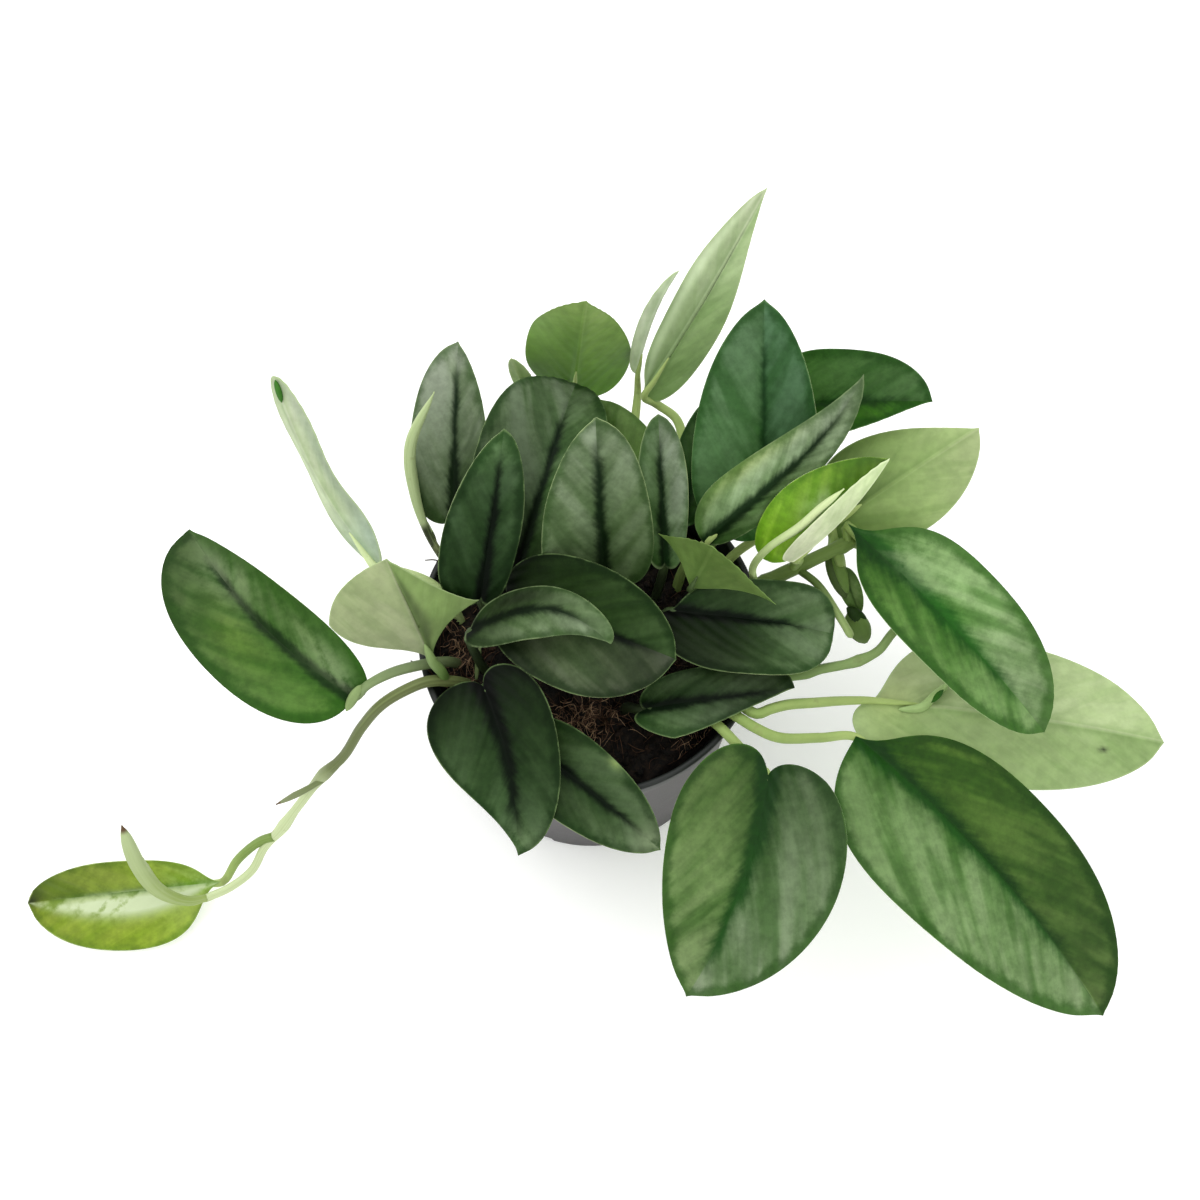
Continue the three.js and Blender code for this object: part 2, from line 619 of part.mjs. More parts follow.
const vineSolids = {};
for (const [name, vine] of Object.entries(vines)) {
  vineSolids[name] = vineSolid(vine, 0);
  cutHole(vine.path, vine.radius * 1.1, vineSides, vineStep);
  plant.add(named(name, vineSolids[name], finish(stemGreen, 0.5)));
}

for (const [name, values] of Object.entries(leaves)) {
  const leaf = complete(values);
  let { solid, path } = leafSolid(leaf);
  if (leaf.on) solid = largest(solid.subtract(vineSolid(vines[leaf.on], fit)));
  else cutHole(path, stalkRadius * 1.12, stalkSides, stalkStep);
  plant.add(named(name, solid, finish(leaf.colour, 0.4)));
}

for (const [name, roll] of Object.entries(rolls)) {
  let solid = rolledSolid(roll);
  if (roll.on) solid = largest(solid.subtract(vineSolid(vines[roll.on], fit)));
  else cutHole(roll.path, roll.stalkRadius, rollSides, rollStep);
  plant.add(named(name, solid, finish(creamGreen, 0.45)));
}

plant.add(named("soil", soil, finish(soilBrown, 0.95)));

export default plant;
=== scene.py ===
import math

import bpy
import numpy as np
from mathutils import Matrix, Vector


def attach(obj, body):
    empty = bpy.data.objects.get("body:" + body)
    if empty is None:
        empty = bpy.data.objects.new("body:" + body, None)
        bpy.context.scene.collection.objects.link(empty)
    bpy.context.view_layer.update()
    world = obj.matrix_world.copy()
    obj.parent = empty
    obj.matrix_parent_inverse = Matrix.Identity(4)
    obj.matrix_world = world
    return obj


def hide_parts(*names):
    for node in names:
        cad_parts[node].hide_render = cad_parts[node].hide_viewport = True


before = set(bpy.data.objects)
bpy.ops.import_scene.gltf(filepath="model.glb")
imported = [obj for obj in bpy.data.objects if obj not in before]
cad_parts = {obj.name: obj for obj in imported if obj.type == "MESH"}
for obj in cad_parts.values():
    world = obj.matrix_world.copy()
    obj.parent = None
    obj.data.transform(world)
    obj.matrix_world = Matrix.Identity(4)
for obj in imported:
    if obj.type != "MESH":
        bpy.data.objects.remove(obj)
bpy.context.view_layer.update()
mm = 0.001
print("solids loaded", len(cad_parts))


# Shader maths

def operator(name, turned=False):
    # a method that adds one Math node, with its two inputs turned round for a number on the left
    def method(self, other):
        first, second = (other, self) if turned else (self, other)
        return self.shader.node("ShaderNodeMath", {"operation": name}, {0: first, 1: second})

    return method


class Wire:
    # one socket in an expression: + - * ** and > with numbers or wires add Math nodes
    __add__, __radd__ = operator("ADD"), operator("ADD", True)
    __sub__, __rsub__ = operator("SUBTRACT"), operator("SUBTRACT", True)
    __mul__, __rmul__ = operator("MULTIPLY"), operator("MULTIPLY", True)
    __pow__, __gt__ = operator("POWER"), operator("GREATER_THAN")

    def __init__(self, shader, socket):
        self.shader = shader
        self.socket = socket


class Shader:
    # one material: node() makes any node, the rest are short names for the ones used most
    def __init__(self, name):
        self.material = bpy.data.materials.new(name)
        self.material.use_nodes = True
        self.tree = self.material.node_tree
        self.tree.nodes.clear()

    def node(self, kind, settings=None, inputs=None, out=0):
        made = self.tree.nodes.new(kind)
        for key, value in (settings or {}).items():
            setattr(made, key, value)
        for key, value in (inputs or {}).items():
            if isinstance(value, Wire):
                self.tree.links.new(value.socket, made.inputs[key])
            else:
                made.inputs[key].default_value = value
        return Wire(self, made.outputs[out])

    def marks(self, name):
        # the three values of a mesh attribute
        return self.split(self.node("ShaderNodeAttribute", {"attribute_name": name}, out=1))

    def place(self):
        return self.node("ShaderNodeTexCoord", out=3)

    def split(self, wire):
        made = self.node("ShaderNodeSeparateXYZ", None, {0: wire}).socket.node
        return [Wire(self, socket) for socket in made.outputs]

    def vector(self, x, y, z):
        return self.node("ShaderNodeCombineXYZ", None, {0: x, 1: y, 2: z})

    def noise(self, where, scale=1.0, detail=3.0, rough=0.55):
        values = {"Vector": where, "Scale": scale, "Detail": detail, "Roughness": rough}
        return self.node("ShaderNodeTexNoise", None, values)

    def fade(self, wire, start, end, low=0.0, high=1.0):
        # smooth step from low at start to high at end
        values = {0: wire, 1: start, 2: end, 3: low, 4: high}
        return self.node("ShaderNodeMapRange", {"interpolation_type": "SMOOTHSTEP"}, values)

    def mix(self, share, first, second, blend="MIX"):
        settings = {"data_type": "RGBA", "blend_type": blend}
        return self.node("ShaderNodeMix", settings, {0: share, 6: first, 7: second}, out=2)

    def bump(self, height, distance, strength):
        values = {"Height": height, "Distance": distance, "Strength": strength}
        return self.node("ShaderNodeBump", None, values)

    def surface(self, **inputs):
        names = {key.replace("_", " ").title().replace("Ior", "IOR"): value for key, value in inputs.items()}
        self.finish(self.node("ShaderNodeBsdfPrincipled", None, names))
        return self.material

    def finish(self, wire):
        output = self.tree.nodes.new("ShaderNodeOutputMaterial")
        self.tree.links.new(wire.socket, output.inputs["Surface"])


def tone(red, green, blue, share=1.0):
    # a colour as it shows on screen, 0 to 255, turned into the linear values that a shader takes
    screen = np.array([red, green, blue]) / 255
    linear = np.where(screen <= 0.04045, screen / 12.92, ((screen + 0.055) / 1.055) ** 2.4) * share
    return (*linear.tolist(), 1.0)


# Leaf finishes. The upper side has a dark midrib band (deep), a silvery zone with lighter streaks
# (silver, bright), a greener margin and a thin pale edge; band and rim are widths in millimetres.

studioGain = 0.8  # leaf tones are a little below the photograph's, for the white floor lights them too

leafLooks = {
    "charcoal": dict(deep=(2, 16, 3), silver=(66, 92, 50), bright=(96, 118, 82), margin=(28, 56, 18),
                     edge=(110, 136, 84), band=1.7, rim=2.2),
    "silver": dict(deep=(6, 28, 6), silver=(106, 128, 88), bright=(132, 150, 118), margin=(56, 84, 40),
                   edge=(130, 150, 104), band=1.6, rim=1.8, streaks=0.45),
    "green": dict(deep=(20, 74, 8), silver=(96, 132, 70), bright=(140, 168, 112), margin=(42, 88, 18),
                  edge=(70, 110, 40), under=(165, 192, 132), band=1.7, rim=3, gloss=0.12, streaks=0.45),
    "middle": dict(edge=(50, 84, 30), under=(155, 180, 116), band=2, rim=3.2, gloss=0.09, streaks=0.55),
    # shade: a darker copy of the leaf colours, painted shade for leaves that lie in the shade of others
    "shade": dict(deep=(20, 54, 18), silver=(68, 106, 58), bright=(92, 128, 82), margin=(36, 78, 26),
                  edge=(100, 138, 84), band=1, rim=2.2, streaks=0.45),
    "moss": dict(deep=(40, 66, 22), silver=(80, 110, 52), bright=(104, 134, 70), margin=(60, 94, 32),
                 edge=(128, 150, 92), under=(110, 140, 68), band=0.8, rim=1.6, gloss=0.08),
    "pale": dict(edge=(190, 206, 160), under=(160, 186, 122), band=1.2, rim=1.6, gloss=0.1),
    "fresh": dict(deep=(92, 132, 28), silver=(138, 168, 54), bright=(196, 212, 140), margin=(112, 148, 38),
                  edge=(190, 208, 130), under=(216, 233, 184), band=0.7, rim=1.4, gloss=0.2),
    "vivid": dict(deep=(64, 112, 8), silver=(92, 144, 22), bright=(140, 182, 62), margin=(70, 122, 12),
                  edge=(158, 194, 78), under=(212, 232, 174), band=0.7, rim=1.4, gloss=0.2),
}


lookUsual = dict(deep=(18, 46, 8), silver=(82, 114, 56), bright=(114, 138, 86), margin=(44, 86, 18),
                 under=(150, 172, 112), streaks=0.35, gloss=0.06, ridge=0.35)


def leafTones(look):
    # the usual look with the values of this one in it, and its colours made linear
    every = (lookUsual | look).items()
    return {key: tone(*value, studioGain) if isinstance(value, tuple) else value for key, value in every}


def shaded(shader, colour, light, warm, cream):
    # the colour times the painted light, moved to yellow by warm, and to grey by cream or to full green below
    # 0
    lit = shader.mix(1.0, colour, shader.vector(light, light, light), "MULTIPLY")
    tint = shader.vector(1 + warm * 0.42 + cream * 0.3, 1 + warm * 0.2, 1 - warm * 0.5 + cream * 0.6)
    return shader.mix(1.0, lit, tint, "MULTIPLY")


def upperFinish(name, look):
    # silver with lighter streaks and greener patches along the veins, then a greener halo and the dark band
    # by the midrib, the greener margin, the painted light and shade and the painted sheen of the leafShade
    # marks, and last the thin pale edge; the noises run on phase, which is constant along a vein, and each
    # half of a blade has its own
    shader = Shader(name)
    along, across, seed = shader.marks("leafPlace")
    phase, out, edge = shader.marks("leafVein")
    rib, rim, cream = shader.marks("leafZone")
    light, warm, paintedSheen = shader.marks("leafShade")
    half = seed + (across > 0) * 3.7
    broad = shader.noise(shader.vector(phase * 0.085, out * 0.025, half), detail=1, rough=0.4)
    fine = shader.noise(shader.vector(phase * 0.4, out * 0.06, half + 9), detail=3, rough=0.5)
    cloud = shader.noise(shader.vector(phase * 0.055, out * 0.05, half + 4), detail=2.5, rough=0.55)
    mottle = shader.noise(shader.place(), scale=240, detail=5, rough=0.65)
    streak = broad * 0.42 + cloud * 0.5 + fine * 0.06 + mottle * 0.06
    reach = look["band"] * (1.3 - 1.05 * along)
    ragged = (fine - 0.5) * 1.6 + (cloud - 0.5) * 3.0 + (mottle - 0.5) * 1.6
    band = shader.fade(rib + ragged - reach, 1.5, -1.0) * shader.fade(along, 0.97, 0.7)
    halo = shader.fade(rib + (broad - 0.5) * 5.0 + ragged - reach * 1.5, 5.0, -0.5)
    halo = halo * shader.fade(along, 1.0, 0.5)
    brink = shader.fade(rim + (broad - 0.5) * 5.0 + (mottle - 0.5) * 3.0 - look["rim"], 1.8, -1.6)
    colour = shader.mix(shader.fade(streak, 0.43, 0.63) * look["streaks"], look["silver"], look["bright"])
    colour = shader.mix(shader.fade(streak, 0.52, 0.38) * look["streaks"] * 0.7, colour, look["margin"])
    colour = shader.mix(shader.fade(cloud, 0.48, 0.36) * 0.35, colour, look["margin"])
    colour = shader.mix(halo * 0.5, colour, look["margin"])
    colour = shader.mix(brink * 0.8, colour, look["margin"])
    colour = shader.mix(band * 0.95, colour, look["deep"])
    spread = shader.fade(mottle, 0.3, 0.7, 0.84, 1.14) * shader.fade(fine, 0.35, 0.65, 0.98, 1.03)
    # painted light and shade from the leafShade marks, varied a little at random
    colour = shaded(shader, colour, light * spread, warm, cream)
    # painted sheen: a pale gloss along the streaks where the leafShade marks give it
    shine = paintedSheen * shader.fade(streak + (mottle - 0.5) * 0.25, 0.42, 0.56, 0.1, 1.0)
    colour = shader.mix(shine, colour, tone(200, 214, 172, studioGain))
    thin = shader.fade(mottle + (cloud - 0.5) * 0.8, 0.42, 0.6)
    colour = shader.mix(shader.fade(edge, 0.5, 0.12) * (0.12 + thin * 0.42), colour, look["edge"])
    cells = shader.noise(shader.place(), scale=2600, detail=2)
    height = streak * 0.5 + mottle * 0.25 + cells * 0.1
    return shader.surface(base_color=colour, roughness=0.42 + cloud * 0.16, specular_ior_level=look["gloss"],
                          normal=shader.bump(height, 0.0003, 0.5))


def underFinish(name, look):
    # the underside's one tone with darker streaks, lighter and darker clouds, a line of painted shade beside
    # the midrib and a lighter ridge on it, the painted light, shade and sheen of the leafShade marks, and a
    # lighter edge
    shader = Shader(name)
    across, seed = shader.marks("leafPlace")[1:]
    phase, out, edge = shader.marks("leafVein")
    cream = shader.marks("leafZone")[2]
    light, warm, paintedSheen = shader.marks("leafShade")
    half = seed + (across > 0) * 5.3
    streak = shader.noise(shader.vector(phase * 0.12, out * 0.03, half), detail=3, rough=0.5)
    cloud = shader.noise(shader.vector(phase * 0.06, out * 0.07, half + 2), detail=4, rough=0.55)
    mottle = shader.noise(shader.place(), scale=200, detail=5, rough=0.6)
    base = look["under"]
    darker = tuple(share * value for share, value in zip((0.62, 0.72, 0.55), base[:3])) + (1.0,)
    lighter = tuple(share * value for share, value in zip((1.3, 1.2, 1.42), base[:3])) + (1.0,)
    colour = shader.mix(shader.fade(streak, 0.5, 0.62) * 0.22, base, darker)
    colour = shader.mix(shader.fade(cloud, 0.5, 0.66) * 0.4, colour, lighter)
    colour = shader.mix(shader.fade(cloud, 0.46, 0.34) * 0.4, colour, darker)
    # painted shade along both sides of the midrib
    colour = shader.mix(shader.fade(out, 3.0, 0.9) * 0.4, colour, darker)
    colour = shader.mix(shader.fade(out, 0.9, 0.4) * look["ridge"], colour, lighter)
    # painted light and shade from the leafShade marks
    colour = shaded(shader, colour, light * shader.fade(mottle, 0.3, 0.7, 0.9, 1.1), warm, cream)
    # painted sheen
    colour = shader.mix(paintedSheen, colour, tone(214, 226, 196, studioGain))
    colour = shader.mix(shader.fade(edge, 0.6, 0.15) * 0.45, colour, lighter)
    cells = shader.noise(shader.place(), scale=2200, detail=2)
    return shader.surface(base_color=colour, roughness=0.52 + cloud * 0.12, specular_ior_level=0.2,
                          normal=shader.bump(streak * 0.5 + cells * 0.1, 0.0003, 0.4))


def stemFinish(name, look):
    # old tissue below start, young above end, along the stem, and a dry tip beyond tipFrom; in the shadow
    # look both are painted shade
    shader = Shader(name)
    along, round_, seed = shader.marks("stemPlace")
    where = shader.place()
    blotch = shader.noise(where, scale=90, detail=4, rough=0.6)
    grain = shader.noise(shader.vector(round_ * 3.0, along * 1.4, seed), detail=3)
    start, end = look.get("start", 0.1), look.get("end", 0.9)
    old, young, streak, scar = (tone(*look[key], studioGain) for key in ("old", "young", "streak", "scar"))
    colour = shader.mix(shader.fade(along + (blotch - 0.5) * (end - start) * 0.6, start, end), old, young)
    colour = shader.mix(shader.fade(grain, 0.35, 0.7) * 0.35, colour, streak)
    colour = shader.mix(shader.fade(blotch, 0.6, 0.7) * 0.5, colour, scar)
    if "tipFrom" in look:
        dry = shader.fade(along, look["tipFrom"], look["tipFrom"] + 0.04)
        colour = shader.mix(dry, colour, tone(84, 62, 40))
    fine = shader.noise(where, scale=1500, detail=2)
    return shader.surface(base_color=colour, roughness=0.45 + blotch * 0.15, specular_ior_level=0.22,
                          normal=shader.bump(grain * 0.5 + fine * 0.3, 0.0004, 0.5))


stemLooks = {
    "olive": dict(old=(96, 106, 60), young=(208, 222, 172), streak=(140, 158, 96), scar=(120, 112, 78),
                  start=0.5, end=0.66),
    "pale": dict(old=(118, 144, 70), young=(172, 192, 116), streak=(150, 178, 100), scar=(130, 140, 84)),
    "grey": dict(old=(98, 112, 74), young=(140, 162, 108), streak=(110, 134, 84), scar=(98, 96, 66)),
    # shadow: a painted-shade copy of the stalk colours for stalks deep among the leaves, darkest below the
    # middle
    "shadow": dict(old=(28, 38, 18), young=(74, 96, 50), streak=(44, 62, 28), scar=(40, 44, 26), start=0.5,
                   end=1),
    "green": dict(old=(80, 104, 44), young=(150, 172, 108), streak=(96, 124, 56), scar=(110, 112, 62)),
    "cream": dict(old=(176, 200, 128), young=(214, 230, 172), streak=(186, 208, 140), scar=(176, 188, 132)),
    "brownFoot": dict(old=(32, 38, 14), young=(184, 202, 148), streak=(150, 170, 110), scar=(130, 138, 90),
                      start=0.43, end=0.47),
    "dryTip": dict(old=(146, 166, 88), young=(172, 188, 136), streak=(180, 196, 148), scar=(138, 150, 98),
                   tipFrom=0.93),
    "mossy": dict(old=(70, 92, 38), young=(104, 130, 60), streak=(84, 108, 46), scar=(90, 96, 52)),
    "sage": dict(old=(88, 118, 54), young=(134, 158, 98), streak=(106, 134, 70), scar=(112, 122, 76)),
    "dry": dict(old=(118, 132, 84), young=(136, 146, 106), streak=(108, 118, 80), scar=(104, 96, 66),
                tipFrom=0.88),
}
stemFinishes = {name: stemFinish("stem_" + name, look) for name, look in stemLooks.items()}
print("stem finishes made", len(stemFinishes))


# Meshes from grids

def skin(index):
    # two triangles for each cell of a grid of vertex numbers, without those that a merged pole flattens
    a, b, c, d = index[:-1, :-1], index[:-1, 1:], index[1:, 1:], index[1:, :-1]
    faces = np.concatenate([np.stack([a, b, c], -1).reshape(-1, 3), np.stack([a, c, d], -1).reshape(-1, 3)])
    keep = (faces[:, 0] != faces[:, 1]) & (faces[:, 1] != faces[:, 2]) & (faces[:, 2] != faces[:, 0])
    return faces[keep]


def closedGrid(points, marks):
    # points (rows, around, 3) becomes one closed skin: the columns wrap round, the first and the last
    # row each shrink to one vertex; marks are further values of each point, handled alike
    rows, around = points.shape[:2]
    index = np.arange(rows * around).reshape(rows, around)
    index[0] = index[0, 0]
    index[-1] = index[-1, 0]
    used, index = np.unique(index, return_inverse=True)
    index = index.reshape(rows, around)
    index = np.concatenate([index, index[:, :1]], 1)
    flat = [values.reshape(rows * around, -1)[used] for values in [points, *marks]]
    return flat, index


def makePiece(name, shells, materials, markNames):
    # joins shells of (points, faces, material number, marks) into one object
    allPoints, allFaces, allSlots = [], [], []
    allMarks = [[] for _ in markNames]
    first = 0
    for points, faces, slots, marks in shells:
        allPoints.append(points)
        allFaces.append(faces + first)
        allSlots.append(np.broadcast_to(slots, len(faces)))
        for kept, values in zip(allMarks, marks):
            kept.append(values)
        first += len(points)
    mesh = bpy.data.meshes.new(name)
    mesh.from_pydata((np.concatenate(allPoints) * mm).tolist(), [], np.concatenate(allFaces).tolist())
    for material in materials:
        mesh.materials.append(material)
    slots = np.concatenate(allSlots).astype(np.int32)
    mesh.polygons.foreach_set("material_index", slots)
    mesh.polygons.foreach_set("use_smooth", np.ones(len(slots), bool))
    for label, values in zip(markNames, allMarks):
        attribute = mesh.attributes.new(label, "FLOAT_VECTOR", "POINT")
        attribute.data.foreach_set("vector", np.concatenate(values).astype(np.float32).ravel())
    mesh.update()
    piece = bpy.data.objects.new(name, mesh)
    bpy.context.scene.collection.objects.link(piece)
    return piece


def unit(vectors):
    return vectors / np.maximum(np.linalg.norm(vectors, axis=-1, keepdims=True), 1e-9)


def smoothPath(points, count):
    # centripetal Catmull-Rom through the points, sampled at count equal steps of its length
    given = np.array(points, float)
    given = np.vstack([2 * given[0] - given[1], given, 2 * given[-1] - given[-2]])
    spans = len(given) - 3
    dense = np.linspace(0, spans, 60 * spans + 1)
    cell = np.minimum(dense.astype(int), spans - 1)
    share = (dense - cell)[:, None]
    p0, p1, p2, p3 = (given[cell + k] for k in range(4))
    gap = [np.maximum(np.linalg.norm(b - a, axis=1, keepdims=True) ** 0.5, 1e-4)
           for a, b in ((p0, p1), (p1, p2), (p2, p3))]
    leave = ((p1 - p0) / gap[0] - (p2 - p0) / (gap[0] + gap[1]) + (p2 - p1) / gap[1]) * gap[1]
    arrive = ((p2 - p1) / gap[1] - (p3 - p1) / (gap[1] + gap[2]) + (p3 - p2) / gap[2]) * gap[1]
    curve = (p1 + leave * share + (-3 * p1 + 3 * p2 - 2 * leave - arrive) * share ** 2
             + (2 * p1 - 2 * p2 + leave + arrive) * share ** 3)
    length = np.concatenate([[0], np.cumsum(np.linalg.norm(np.diff(curve, axis=0), axis=1))])
    steps = np.linspace(0, length[-1], count)
    return np.stack([np.interp(steps, length, curve[:, k]) for k in range(3)], 1), length[-1]


def stemShell(points, radiusAt, sides=14, step=1.6, seed=0.0, slot=0):
    # a round skin along the smooth path; radiusAt(t, angle) gives its radius from 0 to 1 along it
    count = max(8, int(smoothPath(points, 2)[1] / step))
    path = smoothPath(points, count)[0]
    tangent = unit(np.gradient(path, axis=0))
    least = np.linalg.svd(tangent)[2][-1]
    normal = unit(np.cross(tangent, least))
    other = np.cross(tangent, normal)
    t = np.linspace(0, 1, count)[:, None]
    angle = np.linspace(0, 2 * np.pi, sides, endpoint=False)[None, :]
    radius = np.broadcast_to(radiusAt(t, angle), (count, sides))
    spoke = normal[:, None] * np.cos(angle)[..., None] + other[:, None] * np.sin(angle)[..., None]
    ends = [np.broadcast_to(path[k], (1, sides, 3)) for k in (0, -1)]
    ring = np.concatenate([ends[0], path[:, None] + radius[..., None] * spoke, ends[1]])
    t = np.concatenate([[[0.0]], t, [[1.0]]])
    marks = np.stack(np.broadcast_arrays(t, angle, seed), -1)
    (flat, flatMarks), index = closedGrid(ring, [marks])
    return flat, skin(index), slot, flatMarks


def withMarks(shell, *others):
    # a round shell of stemShell with constant marks put before its own
    points, faces, slot, marks = shell
    return points, faces, slot, [*(np.broadcast_to(values, points.shape) for values in others), marks]


# Leaves: the same curves as the solids, on a fine grid, with veins, a midrib and a thin margin

# A pair is for the left and the right half, seen on the upper side with the tip ahead, but lift and side are
# for a third and two thirds of the midrib, which they bend. width, lobe and wave are millimetres, widest is a
# share of the length, fold and curl are degrees. ribs and rims widen the band and the margin, cream greys and
# warm yellows a half, ripen adds cream to the tip, depths sink the stalk's end under the midrib. shade is the
# painted light and shade of each half, the spots are patches of painted light, shade and sheen with one real
# dark dot among them, both explained at leafShade, and bits are small extra shells.
leafUsual = dict(width=15, lobe=4, widest=0.38, point=0.3, corner=0, fold=8, curl=10, lift=4, side=0, wave=1,
                 seen="upper", stem="pale", ribs=1, rims=1, ripen=0.75, cream=0, warm=0, depths=(1.5, 1.4, 1),
                 shade=(1, 1, 1, 1), paintedLightAndSpots=(), bits=())
halfKeys = ("width", "lobe", "widest", "point", "corner", "fold", "curl")
bladeForm = dict(rows=72, columns=22, thick=0.24, drip=0.45, dripReach=0.05, waves=1.5, waveTurn=2.4,
                 veinLean=1.3, veinCurve=0.5, veinPitch=7, veinHeight=0.16, bulgeHeight=0.3,
                 groove=0.32, grooveWidth=1.1, keel=0.75, keelWidth=1.2)
stalkRadius = 1.6


def pairOf(value):
    return value if isinstance(value, (tuple, list)) else (value, value)


def cubic(u, a, b, c, d):
    # a(1-u)^3 + 3b u(1-u)^2 + 3c u^2(1-u) + d u^3
    v = 1 - u
    return a * v ** 3 + 3 * b * u * v ** 2 + 3 * c * u ** 2 * v + d * u ** 3


def bladeRow(t, length, half):
    # where row t of one half leaves the midrib, and where it meets the margin, along the midrib and out from
    # it: a cubic round the lobe up to the widest place, then another to the tip, as in the solids
    x = half["widest"] * length
    rest = length - x
    u = np.clip(t / 0.4, 0, 1)
    w = np.clip((t - 0.4) / 0.6, 0, 1)
    width, lobe, point, corner = half["width"], half["lobe"], half["point"], half["corner"]
    pointed = lambda a, b: a + (b - a) * corner
    lobeAlong = cubic(u, 0, -2.1 * lobe, pointed(-0.8 * lobe, x), x)
    lobeOut = cubic(u, 0, 0.15 * width, pointed(1, 0.55) * width, width)
    tipAlong = cubic(w, x, x + pointed(0.42, 0.1) * rest, length - (0.06 + 0.26 * point) * rest, length)
    tipOut = cubic(w, width, pointed(1, 0.75) * width, (0.76 - 0.56 * point) * width, 0)
    choices = ((x * u ** 1.3, x + rest * w), (lobeAlong, tipAlong), (lobeOut, tipOut))
    return [np.where(t <= 0.4, lower, upper) for lower, upper in choices]


def midribFrame(leaf, t):
    # place, normal and right of the midrib, a cubic curve from base to tip, at the shares t
    base, tip = np.array(leaf["base"], float), np.array(leaf["tip"], float)
    chord = tip - base
    ahead = chord / np.linalg.norm(chord)
    face = np.array(leaf["face"], float)
    up = unit(face - ahead * face.dot(ahead))
    right = np.cross(ahead, up)
    lift, side = pairOf(leaf["lift"]), pairOf(leaf["side"])
    p1 = base + chord / 3 + up * lift[0] + right * side[0]
    p2 = base + chord * 2 / 3 + up * lift[1] + right * side[1]
    inside = np.clip(t, 0, 1)[..., None]
    point = cubic(inside, base, p1, p2, tip)
    along = unit((1 - inside) ** 2 * (p1 - base) + 2 * inside * (1 - inside) * (p2 - p1)
                 + inside ** 2 * (tip - p2))
    normal = unit(up - along * (along @ up)[..., None])
    point = point + along * ((t[..., None] - inside) * leaf["length"])
    return point, normal, np.cross(along, normal)


def bladeShells(leaf, seed):
    # one closed skin: the upper side from left to right, then the underside back, its rows from base to tip;
    # the blade folds up from the midrib, swells between its veins, sinks over the midrib and has a keel below
    form = bladeForm
    t = np.linspace(0, 1, form["rows"] + 1)
    step = np.linspace(-1, 1, 2 * form["columns"] + 1)
    s = np.sign(step) * np.abs(step) ** 1.15 * 0.985
    s = np.concatenate([[-1], s, [1]])
    either = lambda left, right: np.where((s < 0)[None, :], left, right)
    grids = [bladeRow(t, leaf["length"], half) for half in leaf["halves"]]
    rib, marginX, marginY = (either(left[:, None], right[:, None]) for left, right in zip(*grids))
    width, fold, curl = (either(*(half[key] for half in leaf["halves"])) for key in ("width", "fold", "curl"))
    x = rib + np.abs(s)[None, :] * (marginX - rib)
    part = x / leaf["length"]
    marginY = marginY * (1 - form["drip"] * np.exp(-((1 - t[:, None]) / form["dripReach"]) ** 2))
    y = s[None, :] * marginY
    out = np.abs(y)
    share = out / width
    angle = np.radians(fold + curl * share / 2)
    wave = leaf["wave"] * share ** 2 * np.sin(2 * np.pi * form["waves"] * part + either(0, form["waveTurn"]))
    point, normal, right = midribFrame(leaf, part)
    middle = point + right * (y * np.cos(angle))[..., None] + normal * (out * np.sin(angle) + wave)[..., None]
    rise = unit(np.cross(np.gradient(middle, axis=1), np.gradient(middle, axis=0)))
    rise[0] = rise[1]
    rise[-1] = rise[-2]
    phase = x - form["veinLean"] * out - form["veinCurve"] * out * share
    inner = np.clip(out / 2.5, 0, 1) * np.clip(1 - share, 0, 1) ** 0.3
    veins = form["veinHeight"] * np.sin(2 * np.pi * phase / form["veinPitch"] + seed)
    bulges = form["bulgeHeight"] * np.sin(phase / 9 + 2 * seed) * np.sin(out / 5 + seed)
    swell = (veins + bulges) * inner
    groove = form["groove"] * np.exp(-(out / form["grooveWidth"]) ** 2) * (1 - t[:, None]) ** 0.6
    keel = form["keel"] * np.exp(-(out / form["keelWidth"]) ** 2) * (1 - t[:, None]) ** 0.8
    thick = form["thick"] * (1 - 0.55 * np.abs(s)[None, :] ** 6)
    top = middle + rise * (swell + thick - groove)[..., None]
    under = middle + rise * (0.4 * swell - thick - keel)[..., None]
    edge = (1 - np.abs(s))[None, :] * marginY
    wide = np.broadcast_to(s, x.shape)
    place = [np.stack([part, wide, np.full(x.shape, seed)], -1), np.stack([phase, out, edge], -1)]
    cream = either(*leaf["cream"]) + leaf["ripen"] * (part - 0.6)
    zone = np.stack([out / leaf["ribs"], edge / either(*leaf["rims"]), cream], -1)
    shade = leafShade(leaf, part, wide, out)
    plain = [zone * [1, 1, 0], 0 * shade + [1, 0, 0]]
    above = plain if leaf["seen"] == "under" else [zone, shade]
    below = plain if leaf["seen"] == "upper" else [zone, shade]
    sides = zip([top, *place, *above], [under, *place, *below])
    ring, *marks = [np.concatenate([first, second[:, ::-1]], 1) for first, second in sides]
    (flat, *flatMarks), index = closedGrid(ring, marks)
    across = top.shape[1]
    upper, lower = skin(index[:, :across]), skin(index[:, across - 1:])
    slots = np.repeat([0, 1], [len(upper), len(lower)])
    return flat, np.concatenate([upper, lower]), slots, [*flatMarks, np.zeros((len(flat), 3))]


